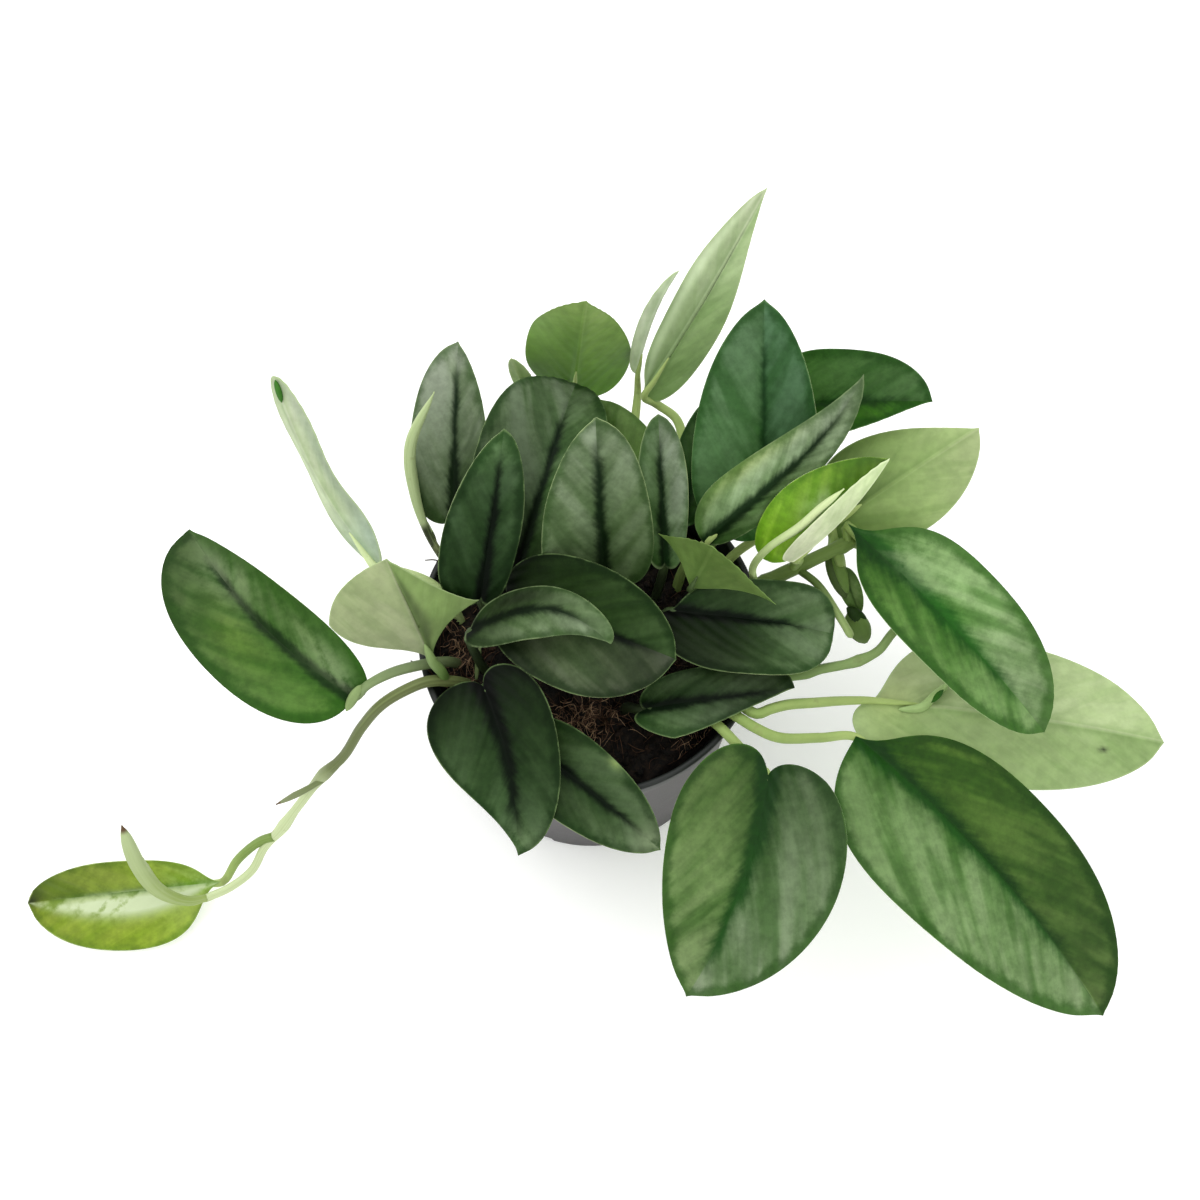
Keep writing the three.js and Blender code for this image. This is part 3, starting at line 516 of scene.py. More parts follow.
def leafShade(leaf, part, wide, out):
    # painted light and shade, warmth and painted sheen of each point: shade gives the painted light and
    # shade at the base and the tip of the left and of the right half, warm one value a half, and each spot
    # adds a soft round patch of up to all three, of painted light, shade and sheen, on one leaf a real dark
    # dot: it is (along, across, its two sizes, light, warmth, painted sheen), all as shares of the length and
    # the half width
    base, tip = np.array(leaf["shade"][0::2]), np.array(leaf["shade"][1::2])
    side = np.clip(0.5 + out * np.sign(wide) / 1.2, 0, 1)
    ramp = np.clip(part, 0, 1) ** 0.9
    left, right = (base[k] + (tip[k] - base[k]) * ramp for k in (0, 1))
    light = left + (right - left) * side
    warm = leaf["warm"][0] + (leaf["warm"][1] - leaf["warm"][0]) * side
    shade = np.stack([light, warm, 0 * light], -1)
    for along, across, lengthways, sideways, *adds in leaf["paintedLightAndSpots"]:
        near = np.exp(-((part - along) / lengthways) ** 2 - ((wide - across) / sideways) ** 2)
        shade = shade + near[..., None] * np.pad(adds, (0, 3 - len(adds)))
    return np.maximum(shade, np.array([0.08, -1, 0]))


upperFinishes = {name: upperFinish("leaf_upper_" + name, leafTones(look)) for name, look in leafLooks.items()}
underFinishes = {name: underFinish("leaf_under_" + name, leafTones(look)) for name, look in leafLooks.items()}
print("leaf finishes made", 2 * len(leafLooks))
grown = []


def bitShell(bit, seed):
    # a small flattened spindle along its path
    body = lambda t: bit["radius"] * (0.15 + np.abs(np.sin(np.pi * t)) ** 0.6)
    slim = lambda t, angle: body(t) * (1 - 0.3 * np.cos(2 * angle))
    return stemShell(bit["path"], slim, step=1.0, seed=seed, slot=bit.get("slot", 0))


def dress(piece, name):
    # the piece takes the place of the solid of that name
    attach(piece, "root")
    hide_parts(name)


def growLeaf(name, values):
    # the blade, its stalk that runs on under the midrib, and its bits; the seed is from this leaf's number
    grown.append(name)
    seed = 1.7 * len(grown)
    leaf = leafUsual | values
    leaf |= {key: pairOf(leaf[key]) for key in ("rims", "cream", "warm")}
    leaf["halves"] = [{key: pairOf(leaf[key])[k] for key in halfKeys} for k in (0, 1)]
    leaf["length"] = 1
    dense = midribFrame(leaf, np.linspace(0, 1, 201))[0]
    leaf["length"] = np.linalg.norm(np.diff(dense, axis=0), axis=1).sum()
    point, normal = midribFrame(leaf, np.array([0, 0.08, 0.2]))[:2]
    path = [*leaf["stalk"], *(point - normal * np.array(leaf["depths"])[:, None])]
    thin = lambda t, angle: stalkRadius * (1.12 - 0.97 * t ** 5) * (1 - 0.06 * np.cos(2 * angle))
    stalk = stemShell(path, thin, seed=seed, slot=2)
    shells = [bladeShells(leaf, seed), withMarks(stalk, (0, 0, 0), (0, 0, 0), (0, 0, 0), (1, 0, 0))]
    for bit in leaf["bits"]:
        # a bit's light scales its colour through the leafShade marks, in part as painted shade
        light = (bit.get("light", 1), 0, 0)
        shells.append(withMarks(bitShell(bit, seed + 1), (0, 0, 0), (0, 3, 3), (0, 9, 0), light))
    materials = [upperFinishes[leaf["look"]], underFinishes[leaf["look"]], stemFinishes[leaf["stem"]]]
    labels = ["leafPlace", "leafVein", "leafZone", "leafShade", "stemPlace"]
    dress(makePiece("blade_" + name, shells, materials, labels), name)


growLeaf("leaf_west_broad", dict(
    base=(-82, -23, 99), tip=(-141, 36, 110), face=(-0.1, -0.3, 1), width=(25, 16), lobe=(0, 3),
    widest=(0.5, 0.34), point=(-0.1, 0.5), lift=(6, 4), side=-6,
    look="middle", stem="grey", rims=(1, 1.8), cream=(-0.4, 0.1), shade=(0.95, 0.42, 1, 0.75),
    paintedLightAndSpots=[(0.55, -0.4, 0.2, 0.3, 0.15, 0.35), (0.8, 0.1, 0.2, 0.5, 0.1, -0.1, 0.12),
    (0.12, 0.4, 0.18, 0.3, 0, 0, 0.2)],
    stalk=[(-44, -6, 84), (-50, -11, 103), (-57, -14, 109), (-68, -17, 109), (-77, -20, 104)],
    bits=[dict(path=[(-79, -20, 104.5), (-82, -23.5, 101), (-84.5, -27.5, 98.5)], radius=1.3, slot=1,
    light=0.75)]))

growLeaf("leaf_west_folded", dict(
    base=(-54, -14, 114), tip=(-67, 8, 152), face=(-0.3, 1, -0.4), width=(23, 27), lobe=(-5, -6),
    widest=(0.36, 0.63), point=(0.9, 0), corner=(1, 0.3), fold=0, lift=-3, wave=0,
    look="pale", seen="under", stem="sage", ripen=0, cream=(-0.3, 0.5), warm=0.1,
    shade=(0.36, 0.6, 0.52, 0.8), paintedLightAndSpots=[(0.5, -0.12, 0.6, 0.12, -0.25), (0.5, -0.55, 0.2, 0.4, 0.12)],
    stalk=[(-50, -18, 105), (-51, -17, 110)]))

growLeaf("leaf_west_narrow", dict(
    base=(-73, 20, 115), tip=(-108, 76, 150), face=(1, 0.5, -0.6), width=9.5, lobe=0, widest=0.3,
    point=-0.3, lift=0, side=(12, 9),
    look="pale", seen="under", stem="cream", ripen=0.1, cream=(0.7, 0.6), warm=-0.15,
    shade=(1.2, 1.15, 1.05, 1), paintedLightAndSpots=[(0.55, 0.5, 0.35, 0.4, 0.3, 0, 0.1),
    (0.5, -0.8, 0.5, 0.3, -0.3, -0.2), (0.1, 0, 0.15, 2, 0, -0.3)],
    stalk=[(-44, 6, 84), (-50, 12, 103), (-56, 16, 109), (-66, 19, 112)],
    bits=[dict(path=[(-107.5, 74.5, 150), (-106.7, 72.1, 147.2), (-105.8, 69, 143.8)], radius=0.9, slot=0,
    light=5)]))

growLeaf("leaf_trailing", dict(
    base=(-139, -66, 9), tip=(-213, -73, 4), face=(0, -0.2, 1), width=(22, 12), lobe=(-6, -5),
    widest=(0.45, 0.6), point=0.1, fold=(-8, 8), lift=3,
    look="fresh", ripen=0.3, cream=(-0.5, -0.4), warm=(0.65, 0.5), shade=(0.72, 0.56, 0.85, 0.32),
    paintedLightAndSpots=[(0.5, -0.22, 0.42, 0.17, 0.1, -0.2, 1.5), (0.1, 0, 0.16, 0.8, 0.3, 0, 0.3),
    (1, 0, 0.06, 1, -0.4, 0.3)],
    stalk=[(-118, -53, 26), (-124, -54, 22), (-133, -59, 14)]))

growLeaf("leaf_north_west", dict(
    base=(-48, 40, 112), tip=(-46, 95, 139), face=(-0.1, -0.3, 1), width=(16, 13), lobe=3, widest=0.32,
    point=(0.1, 0.5),
    look="silver", cream=(0.5, 0.4), shade=(0.75, 1.35, 0.45, 1.15),
    stalk=[(-34, 27, 84), (-40, 32, 102), (-45, 37, 109)]))

growLeaf("leaf_north_heart", dict(
    base=(-6, 93, 106), tip=(-1, 91, 176), face=(0, 1, 0), width=(20, 19), lobe=(8, 3), widest=(0.18, 0.32),
    point=(0.65, 0.3), lift=2,
    look="moss", seen="under", ripen=1.5, cream=(0, -0.2), shade=(1.3, 1.9, 0.95, 1.7),
    paintedLightAndSpots=[(0.25, 0.5, 0.2, 0.35, -0.25)],
    stalk=[(0, 40, 84), (0, 48, 102), (-1, 57, 109), (-3, 76, 108), (-5, 88, 103)]))

growLeaf("leaf_north_small", dict(
    base=(-22, 88, 110), tip=(-28, 94, 128), face=(0, 1, 0.2), width=4, lobe=0, lift=0, wave=0,
    look="pale", seen="under", shade=(0.75, 0.9, 0.75, 0.9),
    stalk=[(-14, 37, 84), (-16, 45, 101), (-19, 55, 109), (-21, 74, 109)]))

growLeaf("leaf_north_pale", dict(
    base=(19, 84, 119), tip=(61, 137, 172), face=(-0.3, 0.4, -0.8), width=(13, 11), lobe=(2, -3),
    widest=(0.25, 0.5), point=(1, 0.4), fold=(5, 45), lift=-4,
    look="pale", seen="under", ripen=0.9, cream=(0.1, 0.3), warm=-0.1, shade=(0.8, 1.2, 0.42, 0.95),
    paintedLightAndSpots=[(0.5, 0.75, 0.5, 0.2, 0.35, 0, 0.35)],
    stalk=[(22, 38, 84), (26, 43, 103), (30, 50, 109), (33, 66, 111), (31, 78, 111), (24, 83, 113)]))

growLeaf("leaf_north_narrow", dict(
    base=(16, 94, 117), tip=(31, 117, 150), face=(-0.8, 0.5, -0.5), width=4.5, lobe=0, widest=0.5, fold=20,
    lift=0, side=(3, 7), wave=0,
    look="pale", seen="under", ripen=0, cream=0.8, warm=-0.25, shade=(1.6, 1.5, 1.6, 1.5),
    stalk=[(9, 41, 84), (11, 48, 102), (13, 57, 109), (16, 78, 111), (17, 88, 112)]))

growLeaf("leaf_centre_broad", dict(
    base=(-29, 7, 108), tip=(-5, 88, 120), face=(0, -0.4, 1), width=(26, 19), widest=(0.58, 0.5),
    point=(0.05, 0), lift=(16, 34),
    look="charcoal", stem="shadow", cream=(0.8, 0.2), shade=(0.45, 1.6, 1.1, 1.1),
    paintedLightAndSpots=[(0.05, 0, 0.3, 2, -0.75), (0.5, 0.5, 0.18, 0.6, 0.55), (0.5, -0.5, 0.2, 0.5, -0.4)],
    stalk=[(-22, -2, 84), (-25, 2, 100)]))

growLeaf("leaf_centre_bright", dict(
    base=(5, 15, 117), tip=(2, 43, 187), face=(0, -0.8, 0.5), width=(21, 18), lobe=(6, 4),
    widest=(0.24, 0.3), point=(0.35, 0), lift=2,
    look="silver", stem="shadow", ribs=1.3, cream=(0.15, 0), shade=(0.58, 1.3, 0.56, 1.02),
    stalk=[(4, 6, 84), (4, 10, 102)]))

growLeaf("leaf_centre_left", dict(
    base=(-37, 3, 128), tip=(-28, 46, 172), face=(0.1, -0.6, 0.7), width=(17, 10), lobe=3,
    widest=(0.3, 0.5), point=(0.4, 0.1),
    look="charcoal", stem="shadow", cream=(-0.15, -0.1), warm=-0.2, shade=(0.32, 0.85, 0.32, 0.7),
    paintedLightAndSpots=[(0.95, 0, 0.15, 2, 0.7, 0.1), (0.5, 0.5, 0.2, 0.5, 0.12)],
    stalk=[(-31, 2, 84), (-35, 3, 108)]))

growLeaf("leaf_centre_back", dict(
    base=(20, 32, 104), tip=(3, 80, 124), face=(0, -0.3, 1), width=(13, 17), lobe=3,
    look="moss", stem="shadow",
    stalk=[(15, 25, 84), (17, 28, 96)]))

growLeaf("leaf_centre_low", dict(
    base=(-27, 4, 126), tip=(29, -21, 134), face=(0, -0.3, 1), width=(21, 24), widest=(0.42, 0.52),
    point=0.2, lift=5,
    look="charcoal", stem="shadow", cream=(-0.5, 1.1), warm=(0, 0.2), shade=(0.1, 0.62, 0.16, 0.5),
    paintedLightAndSpots=[(0.5, 0.5, 0.22, 0.5, 0.75)],
    stalk=[(-20, -8, 84), (-23, -4, 105)]))

growLeaf("leaf_centre_curled", dict(
    base=(-42, -8, 124), tip=(7, -21, 149), face=(0, -0.4, 1), width=(8, 10), lobe=(-3, 2), widest=0.5,
    point=(-0.3, 0.7), fold=(-20, 0), lift=(5, 8), side=(-8, -18),
    look="silver", stem="shadow", cream=(-0.3, 0), shade=(0.2, 0.9, 0.22, 1),
    paintedLightAndSpots=[(0.45, -0.6, 0.25, 0.5, -0.42), (0.5, 0.4, 0.2, 0.5, 0.12)],
    stalk=[(-33, -12, 84), (-38, -12, 105)]))

growLeaf("leaf_centre_narrow", dict(
    base=(26, 20, 116), tip=(23, 57, 160), face=(0, -0.6, 0.7), width=(8.5, 9.5), lobe=2, widest=0.58,
    point=0.1, fold=15,
    look="silver", stem="shadow", cream=(-0.3, 0.4), warm=(-0.1, -0.05), shade=(0.58, 1.08, 2.1, 1.15),
    paintedLightAndSpots=[(0.5, 0.5, 0.2, 0.5, -0.5)],
    stalk=[(21, 14, 84), (24, 17, 100)]))

growLeaf("leaf_north_east_dark", dict(
    base=(61, 32, 118), tip=(59, 96, 168), face=(-0.2, -0.6, 0.8), width=(25, 20), widest=(0.28, 0.38),
    look="shade", cream=(0.35, 0.2), warm=(0, -0.25), shade=(1.35, 0.85, 0.6, 1),
    stalk=[(40, 20, 84), (46, 24, 102), (52, 28, 109), (58, 31, 113)]))

growLeaf("leaf_north_east_shade", dict(
    base=(33, 42, 107), tip=(45, 85, 118), face=(0, -0.2, 1), width=(9, 8), lobe=3,
    look="shade", stem="shadow", warm=0.2, shade=(0.4, 0.5, 0.4, 0.5),
    stalk=[(28, 31, 84), (31, 36, 98)]))

growLeaf("leaf_far_east", dict(
    base=(66, 79, 120), tip=(119, 73, 136), face=(0, -0.2, 1), width=(19, 14), widest=(0.36, 0.22),
    point=(0, 0.9),
    look="shade", ribs=1.6, cream=(-0.2, -1.3), warm=(0.15, 0.1), shade=(0.8, 0.75, 0.45, 0.8),
    stalk=[(37, 28, 84), (41, 31, 103), (47, 36, 110), (56, 54, 113), (63, 74, 117)]))

growLeaf("leaf_east_lance", dict(
    base=(39, 22, 131), tip=(91, 66, 172), face=(-0.3, -0.4, 1), width=(13, 9), lobe=0, widest=(0.24, 0.4),
    point=(0.7, 0.3), fold=(0, -40), side=(2, 10),
    look="silver", cream=(0.3, 0), shade=(1.75, 1.1, 1.2, 1), paintedLightAndSpots=[(0.08, 0, 0.12, 2, -0.35),
    (0.35, -0.9, 0.3, 0.25, 0.1, 0.4), (0.5, 0.5, 0.18, 0.5, 0.25)],
    stalk=[(30, 20, 84), (33, 22, 108)]))

growLeaf("leaf_east_pale", dict(
    base=(85, 36, 114), tip=(136, 67, 128), face=(0, 0.2, -1), width=(20, 21), lobe=2, widest=(0.45, 0.3),
    point=(0.3, 0.8), lift=-4,
    look="pale", seen="under", ripen=1, cream=(0, -0.2), warm=0.1, shade=(0.55, 0.83, 0.1, 0.95),
    paintedLightAndSpots=[(0.5, 0, 0.2, 2, 0.1)],
    stalk=[(84, 25, 117), (85, 31, 114)]))

growLeaf("leaf_east_fresh", dict(
    base=(69, 15, 134), tip=(99, 38, 166), face=(-0.3, -0.4, 1), width=(21, 10), lobe=(10, 2),
    widest=(0.32, 0.4), fold=(8, 112), curl=(6, 12), side=4, wave=0,
    look="vivid", seen="both", ripen=-0.6, cream=(0.5, 0.2), shade=(1.6, 0.52, 0.85, 1),
    paintedLightAndSpots=[(0.45, -0.35, 0.16, 0.22, 0.2, 0, 0.5)],
    stalk=[(70, 20, 112), (72, 20, 121), (70, 17, 129)]))

growLeaf("leaf_small_end_on", dict(
    base=(35, 10, 121), tip=(41, 14, 148), face=(0.53, 0.85, -0.2), width=(28, 19), lobe=0,
    widest=(0.53, 0.43), point=0.8, corner=1, fold=0, curl=0, wave=0,
    look="moss", seen="under", stem="shadow", ripen=0.2, shade=(0.6, 1.1, 0.8, 1),
    paintedLightAndSpots=[(0.5, -0.5, 0.2, 0.5, -0.2)],
    stalk=[(38, 14, 84), (37, 15, 106)]))

growLeaf("leaf_south_round", dict(
    base=(27, 3, 117), tip=(84, -4, 112), face=(0, -0.1, 1), width=(15, 21), lobe=(-3, 4),
    widest=(0.7, 0.42), point=(-0.3, -0.2), lift=(2, 6),
    look="charcoal", stem="shadow", cream=(0.35, 0.3), shade=(0.4, 1.5, 0.08, 1.5),
    paintedLightAndSpots=[(0.45, 0, 0.22, 2, -0.25), (0.35, 0.5, 0.25, 0.8, -0.2)],
    stalk=[(19, -4, 84), (22, -1, 105)]))

growLeaf("leaf_south_dark", dict(
    base=(19, -31, 111.5), tip=(70, -24, 113), face=(0, 0, 1), width=12, lobe=(2, 5), widest=(0.4, 0.16),
    point=(-0.3, 0.9), corner=(0, 0.4), fold=0, curl=(0, 4), lift=1, wave=0,
    look="charcoal", stem="shadow", cream=(0.3, 0.5), shade=(0.6, 0.5, 1.35, 0.3),
    paintedLightAndSpots=[(0.5, 0.5, 0.2, 0.5, -0.15)],
    stalk=[(12, -24, 84), (13, -27, 101)]))

growLeaf("leaf_south_heart", dict(
    base=(-36, -26, 121), tip=(-24, -81, 106), face=(0, -0.2, 1), width=(19, 24), lobe=(5, 4),
    widest=(0.27, 0.22), point=(0.1, 1), side=-4,
    look="charcoal", stem="shadow", ribs=1.5, cream=(-0.2, -0.1), warm=-0.1, shade=(0.08, 0.75, 0.12, 1.1),
    paintedLightAndSpots=[(0.95, 0, 0.1, 1, 0.5, 0, 0.1)],
    stalk=[(-28, -21, 84), (-31, -23, 105), (-35, -25, 116)],
    bits=[dict(path=[(-40, -15, 94), (-39, -10, 101), (-38, -6, 106)], radius=0.7, slot=1, light=0.6)]))

growLeaf("leaf_south_lance", dict(
    base=(-24, -40, 111), tip=(24, -78, 102), face=(0, -0.1, 1), width=(14, 16), lobe=3,
    look="charcoal", stem="shadow", cream=(0.15, 0.2), shade=(0.5, 0.95, 0.4, 1.1),
    paintedLightAndSpots=[(0.95, 0, 0.1, 1, 0.1, 0, 0.2), (0.5, 0.5, 0.2, 0.5, -0.15),
    (0.51, -1, 0.045, 0.14, 1.4, 1.3, 0.2)],
    stalk=[(-18, -34, 84), (-21, -36, 100)]))

growLeaf("leaf_south_east_heart", dict(
    base=(60.5, -53, 107), tip=(33, -122, 73), face=(0, -0.1, 1), width=(33, 30), lobe=(5, 9),
    widest=(0.34, 0.26), point=(0.5, 0.35), fold=(20, 8), curl=(-8, 10), side=-6,
    look="green", ribs=1.7, cream=(0.75, 0.1), warm=(-0.1, 0.15), shade=(0.4, 0.92, 0.42, 0.8),
    paintedLightAndSpots=[(0.5, 0, 0.2, 2, 0.1)],
    stalk=[(37, -28, 84), (40, -31, 103), (44, -36, 108.3), (50, -42, 107), (57, -49, 104)]))

growLeaf("leaf_east_largest", dict(
    base=(92, -36, 97), tip=(176, -128, 70), face=(0, 0, 1), width=(28, 37), lobe=(-8, -1),
    widest=(0.52, 0.35), point=(0.2, 0.3), fold=(4, 8), lift=8, side=-5,
    look="green", ribs=1.7, cream=(-0.6, 0.3), warm=(0.2, 0), shade=(0.47, 0.4, 0.75, 1),
    paintedLightAndSpots=[(0.5, 0.4, 0.2, 0.5, 0.08)],
    stalk=[(42, -24, 84), (44, -27, 103), (49, -32, 109), (56, -37, 110), (64, -40, 108), (79, -38, 101)]))

growLeaf("leaf_east_pale_large", dict(
    base=(98, -21, 89), tip=(204, -32, 76), face=(0, 0, -1), width=(26, 31), lobe=(6, -4), widest=0.42,
    point=0.2, lift=-8,
    look="pale", seen="under", ripen=-0.3, cream=(0, 0.3), shade=(1.1, 0.72, 1.08, 1),
    paintedLightAndSpots=[(0.785, -0.4, 0.012, 0.045, -1.1), (0.02, 0.1, 0.14, 0.8, -0.12, 0.25)],
    stalk=[(46, -17, 84), (48, -22, 103), (52, -29, 109.3), (57, -32, 109.3), (62, -30, 108.5),
    (68, -28, 107), (77, -26, 103), (87, -23, 96)],
    bits=[dict(path=[(108, -24.5, 91), (116, -24, 91.8), (121, -19.5, 91.6), (127, -14, 90.4)], radius=1.5,
    slot=1, light=1.1), dict(path=[(119, -22.6, 93), (121.5, -19.8, 92.8), (124, -17, 92)], radius=1,
    slot=0, light=4)]))

growLeaf("leaf_east_glossy", dict(
    base=(89, 32, 125), tip=(156, -37, 104), face=(0.1, 0, 1), width=(23, 20), lobe=(-8, -7), widest=0.5,
    point=(0.1, 0.2), fold=(4, 8), lift=7,
    look="green", ribs=1.9, ripen=1.2, cream=(0.5, -0.4), depths=(2, 2.6, 1.8), shade=(1, 1.05, 0.5, 1.02),
    paintedLightAndSpots=[(0.25, -0.35, 0.14, 0.3, 0.2, 0, 0.2), (0.5, -0.4, 0.2, 0.6, 0.4)],
    stalk=[(90, 27, 119), (89, 31, 121)]))

growLeaf("sheath_east_upper", dict(
    base=(88, 21, 111), tip=(95, 8, 99), face=(-0.3, 0.2, 1), width=4, lobe=0, lift=1, wave=0,
    look="moss", ribs=0.3, ripen=0, cream=0.7, shade=(1, 1.6, 1, 1.6),
    stalk=[(86, 25, 117), (87, 23, 114)],
    bits=[dict(path=[(83, 26, 111), (86, 19, 109), (89.5, 12, 105)], radius=1.9, slot=1, light=0.4),
    dict(path=[(85, 27, 112), (87.5, 20, 110.5), (90, 13, 107)], radius=1.5, slot=1, light=0.9),
    dict(path=[(91, 8.5, 101), (94, 4, 99), (97, -2, 97)], radius=3.4, slot=1, light=0.75),
    dict(path=[(90, 9, 103.5), (93, 6.5, 103), (97, 3.5, 101.5)], radius=1.6, slot=0, light=0.7)]))
print("leaves grown", len(grown))


# Vines: a round stem with a raised ring at each joint

def growVine(name, values):
    ring = lambda t: np.max([np.clip(1 - np.abs(t - at) / 0.05, 0, 1) for at in values["joints"]], axis=0)
    plain = lambda t, angle: values["radius"] * (1.1 - 0.3 * t) + 0.05 * np.sin(5 * angle)
    radius = lambda t, angle: plain(t, angle) + values["swell"] * ring(t)
    shell = stemShell(values["path"], radius, sides=20, step=1.2, seed=values["seed"])
    dress(makePiece("stem_" + name, [withMarks(shell)], [stemFinishes[values["stem"]]], ["stemPlace"]), name)


growVine("vine_west", dict(
    path=[(-40, -14, 84), (-47, -18, 102), (-56, -20, 108), (-64, -23, 107), (-72, -26, 101),
    (-80, -30, 88), (-88, -35, 70), (-98, -39, 55), (-107, -45, 41), (-115, -51, 29), (-122, -56, 21),
    (-127, -63, 15), (-135, -69, 13), (-144, -73, 12)],
    radius=1.9, joints=(0.56, 0.75), swell=0.7, seed=1, stem="olive"))

growVine("vine_east", dict(
    path=[(46, 7, 84), (51, 10, 102), (57, 13, 110), (64, 17, 111), (74, 21, 114), (84, 25, 117),
    (92, 28, 119)],
    radius=2.8, joints=(0.5, 0.93), swell=0.6, seed=2, stem="mossy"))

growVine("vine_east_low", dict(
    path=[(44, -4, 84), (49, -8, 101), (56, -15, 109), (67, -18, 108), (80, -15, 107), (92, -12, 106),
    (100, -8, 106), (105, -2, 107), (111, 4, 108)],
    radius=1.9, joints=(0.54, 0.74), swell=0.5, seed=3, stem="sage"))


# Rolled young leaves, a bare stalk and a sheath: a slim spindle on a stalk, with the free margin of the
# leaf wound once round it

def growRoll(name, values):
    stalk = values["stalkRadius"]

    def radius(t, angle):
        # the stalk's radius, then a body that swells as a sine and ends blunt, with a low ridge winding round
        along = np.clip((t - values["stalkShare"]) / (1 - values["stalkShare"]), 0, 1)
        body = (values["radius"] - stalk) * np.sin(np.pi * np.minimum(1, along * 1.6) * 0.5)
        plain = np.maximum(0.25, (stalk + body) * (1 - along ** values.get("blunt", 5)))
        turn = (angle - 5 * t) % (2 * np.pi)
        return plain * (1 + 0.14 * np.exp(-turn * 1.2) * (along > 0))

    shells = [stemShell(values["path"], radius, sides=24, step=1.0, seed=values["seed"])]
    shells += [bitShell(bit, values["seed"] + 1) for bit in values.get("bits", ())]
    shells = [withMarks(shell) for shell in shells]
    dress(makePiece("young_" + name, shells, [stemFinishes[values["stem"]]], ["stemPlace"]), name)


growRoll("roll_north_west", dict(
    path=[(-40, 15, 84), (-47, 21, 102), (-52, 26, 109), (-57, 34, 112), (-61, 44, 121), (-62, 57, 134),
    (-53, 70, 150)],
    radius=2.2, stalkRadius=1.4, stalkShare=0.45, seed=4, stem="brownFoot",
    bits=[dict(path=[(-54, 30, 111), (-57, 35, 112), (-58, 38, 114)],
    radius=1.1)]))

growRoll("roll_west", dict(
    path=[(-144, -73, 12), (-151, -75, 16), (-160, -73, 25), (-166, -66, 36), (-170, -55, 49)],
    radius=3, stalkRadius=1.5, stalkShare=0.05, blunt=10, seed=5, stem="dryTip"))

growRoll("roll_east", dict(
    path=[(58, 14, 110), (56, 16, 124), (61, 18, 138), (70.5, 20.5, 150), (77, 24, 158), (83.5, 27, 166)],
    radius=1.6, stalkRadius=1.3, stalkShare=0.5, seed=6, stem="cream"))

growRoll("stalk_east", dict(
    path=[(72, 20, 113), (79, 13, 115), (86, 3, 112), (91, -4, 108)],
    radius=1.4, stalkRadius=1.4, stalkShare=0.9, seed=7, stem="green"))

growRoll("sheath_west", dict(
    path=[(-97, -40, 56), (-105, -44, 54), (-114, -48, 52)],
    radius=1.2, stalkRadius=1, stalkShare=0.1, seed=8, stem="dry"))
print("vines and young leaves grown")


# Pot: a turned profile with the foot's edge lifted in the drain notches

potShape = dict(height=105, rim=60, foot=50, wall=1.2, band=11, step=2,
                notches=8, notchWide=9, notchDeep=4, notchFrom=43, sectors=240)


def potProfile(p):
    # radius and height from the middle of the underside round the wall, band and lip to the inner floor
    foot, rim, top, wall, notch = p["foot"], p["rim"], p["height"], p["wall"], p["notchFrom"]
    bandFoot = top - p["band"]
    wallTop = rim - p["step"] - 1.5
    slope = (wallTop - foot) / bandFoot
    corners = [(0, 0), (notch - 0.3, 0), (notch, 0), (foot - 0.8, 0), (foot - 0.2, 0.25), (foot, 0.9)]
    taper = [(foot + slope * z, z) for z in (3.9, 4.3, 20, 40, 60, 80, bandFoot - 0.6)]
    band = [(wallTop + 0.4, bandFoot), (rim - 1.9, bandFoot + 0.2), (rim - 1.5, bandFoot + 0.8),
            (rim - 1.2, bandFoot + 5), (rim - 1, top - 2.8), (rim - 0.4, top - 2.4), (rim, top - 1.9),
            (rim, top - 0.5), (rim - 0.4, top), (rim - 1.8, top), (rim - 2.2, top - 0.4),
            (rim - 2.6, bandFoot + 2.5), (wallTop - wall, bandFoot)]
    inside = [(foot + slope * z - wall, z) for z in (80, 60, 40, 20, 5)]
    floor = [(foot - wall - 0.4, 4.9), (foot - wall - 0.6, 1.4), (notch - 0.6, wall), (notch - 1.2, wall),
             (0, wall)]
    return np.array([*corners, *taper, *band, *inside, *floor], float)


def makePot():
    p = potShape
    profile = potProfile(p)
    angle = np.linspace(0, 2 * np.pi, p["sectors"], endpoint=False)
    radius, height = (np.repeat(profile[:, k][:, None], len(angle), 1) for k in (0, 1))
    pitch = 2 * np.pi / p["notches"]
    off = np.abs((angle % pitch) - pitch / 2) * p["foot"]
    notched = (off < p["notchWide"] / 2)[None, :] & (radius >= p["notchFrom"])
    lift = np.where(np.arange(len(profile))[:, None] < 8, p["notchDeep"], p["notchDeep"] + 1)
    height = np.where(notched & (height < lift), lift, height)
    points = np.stack([radius * np.cos(angle), radius * np.sin(angle), height], -1)
    (flat,), index = closedGrid(points, [])
    dress(makePiece("nursery_pot", [(flat, skin(index)[:, ::-1], 0, [])], [potFinish()], []), "pot")


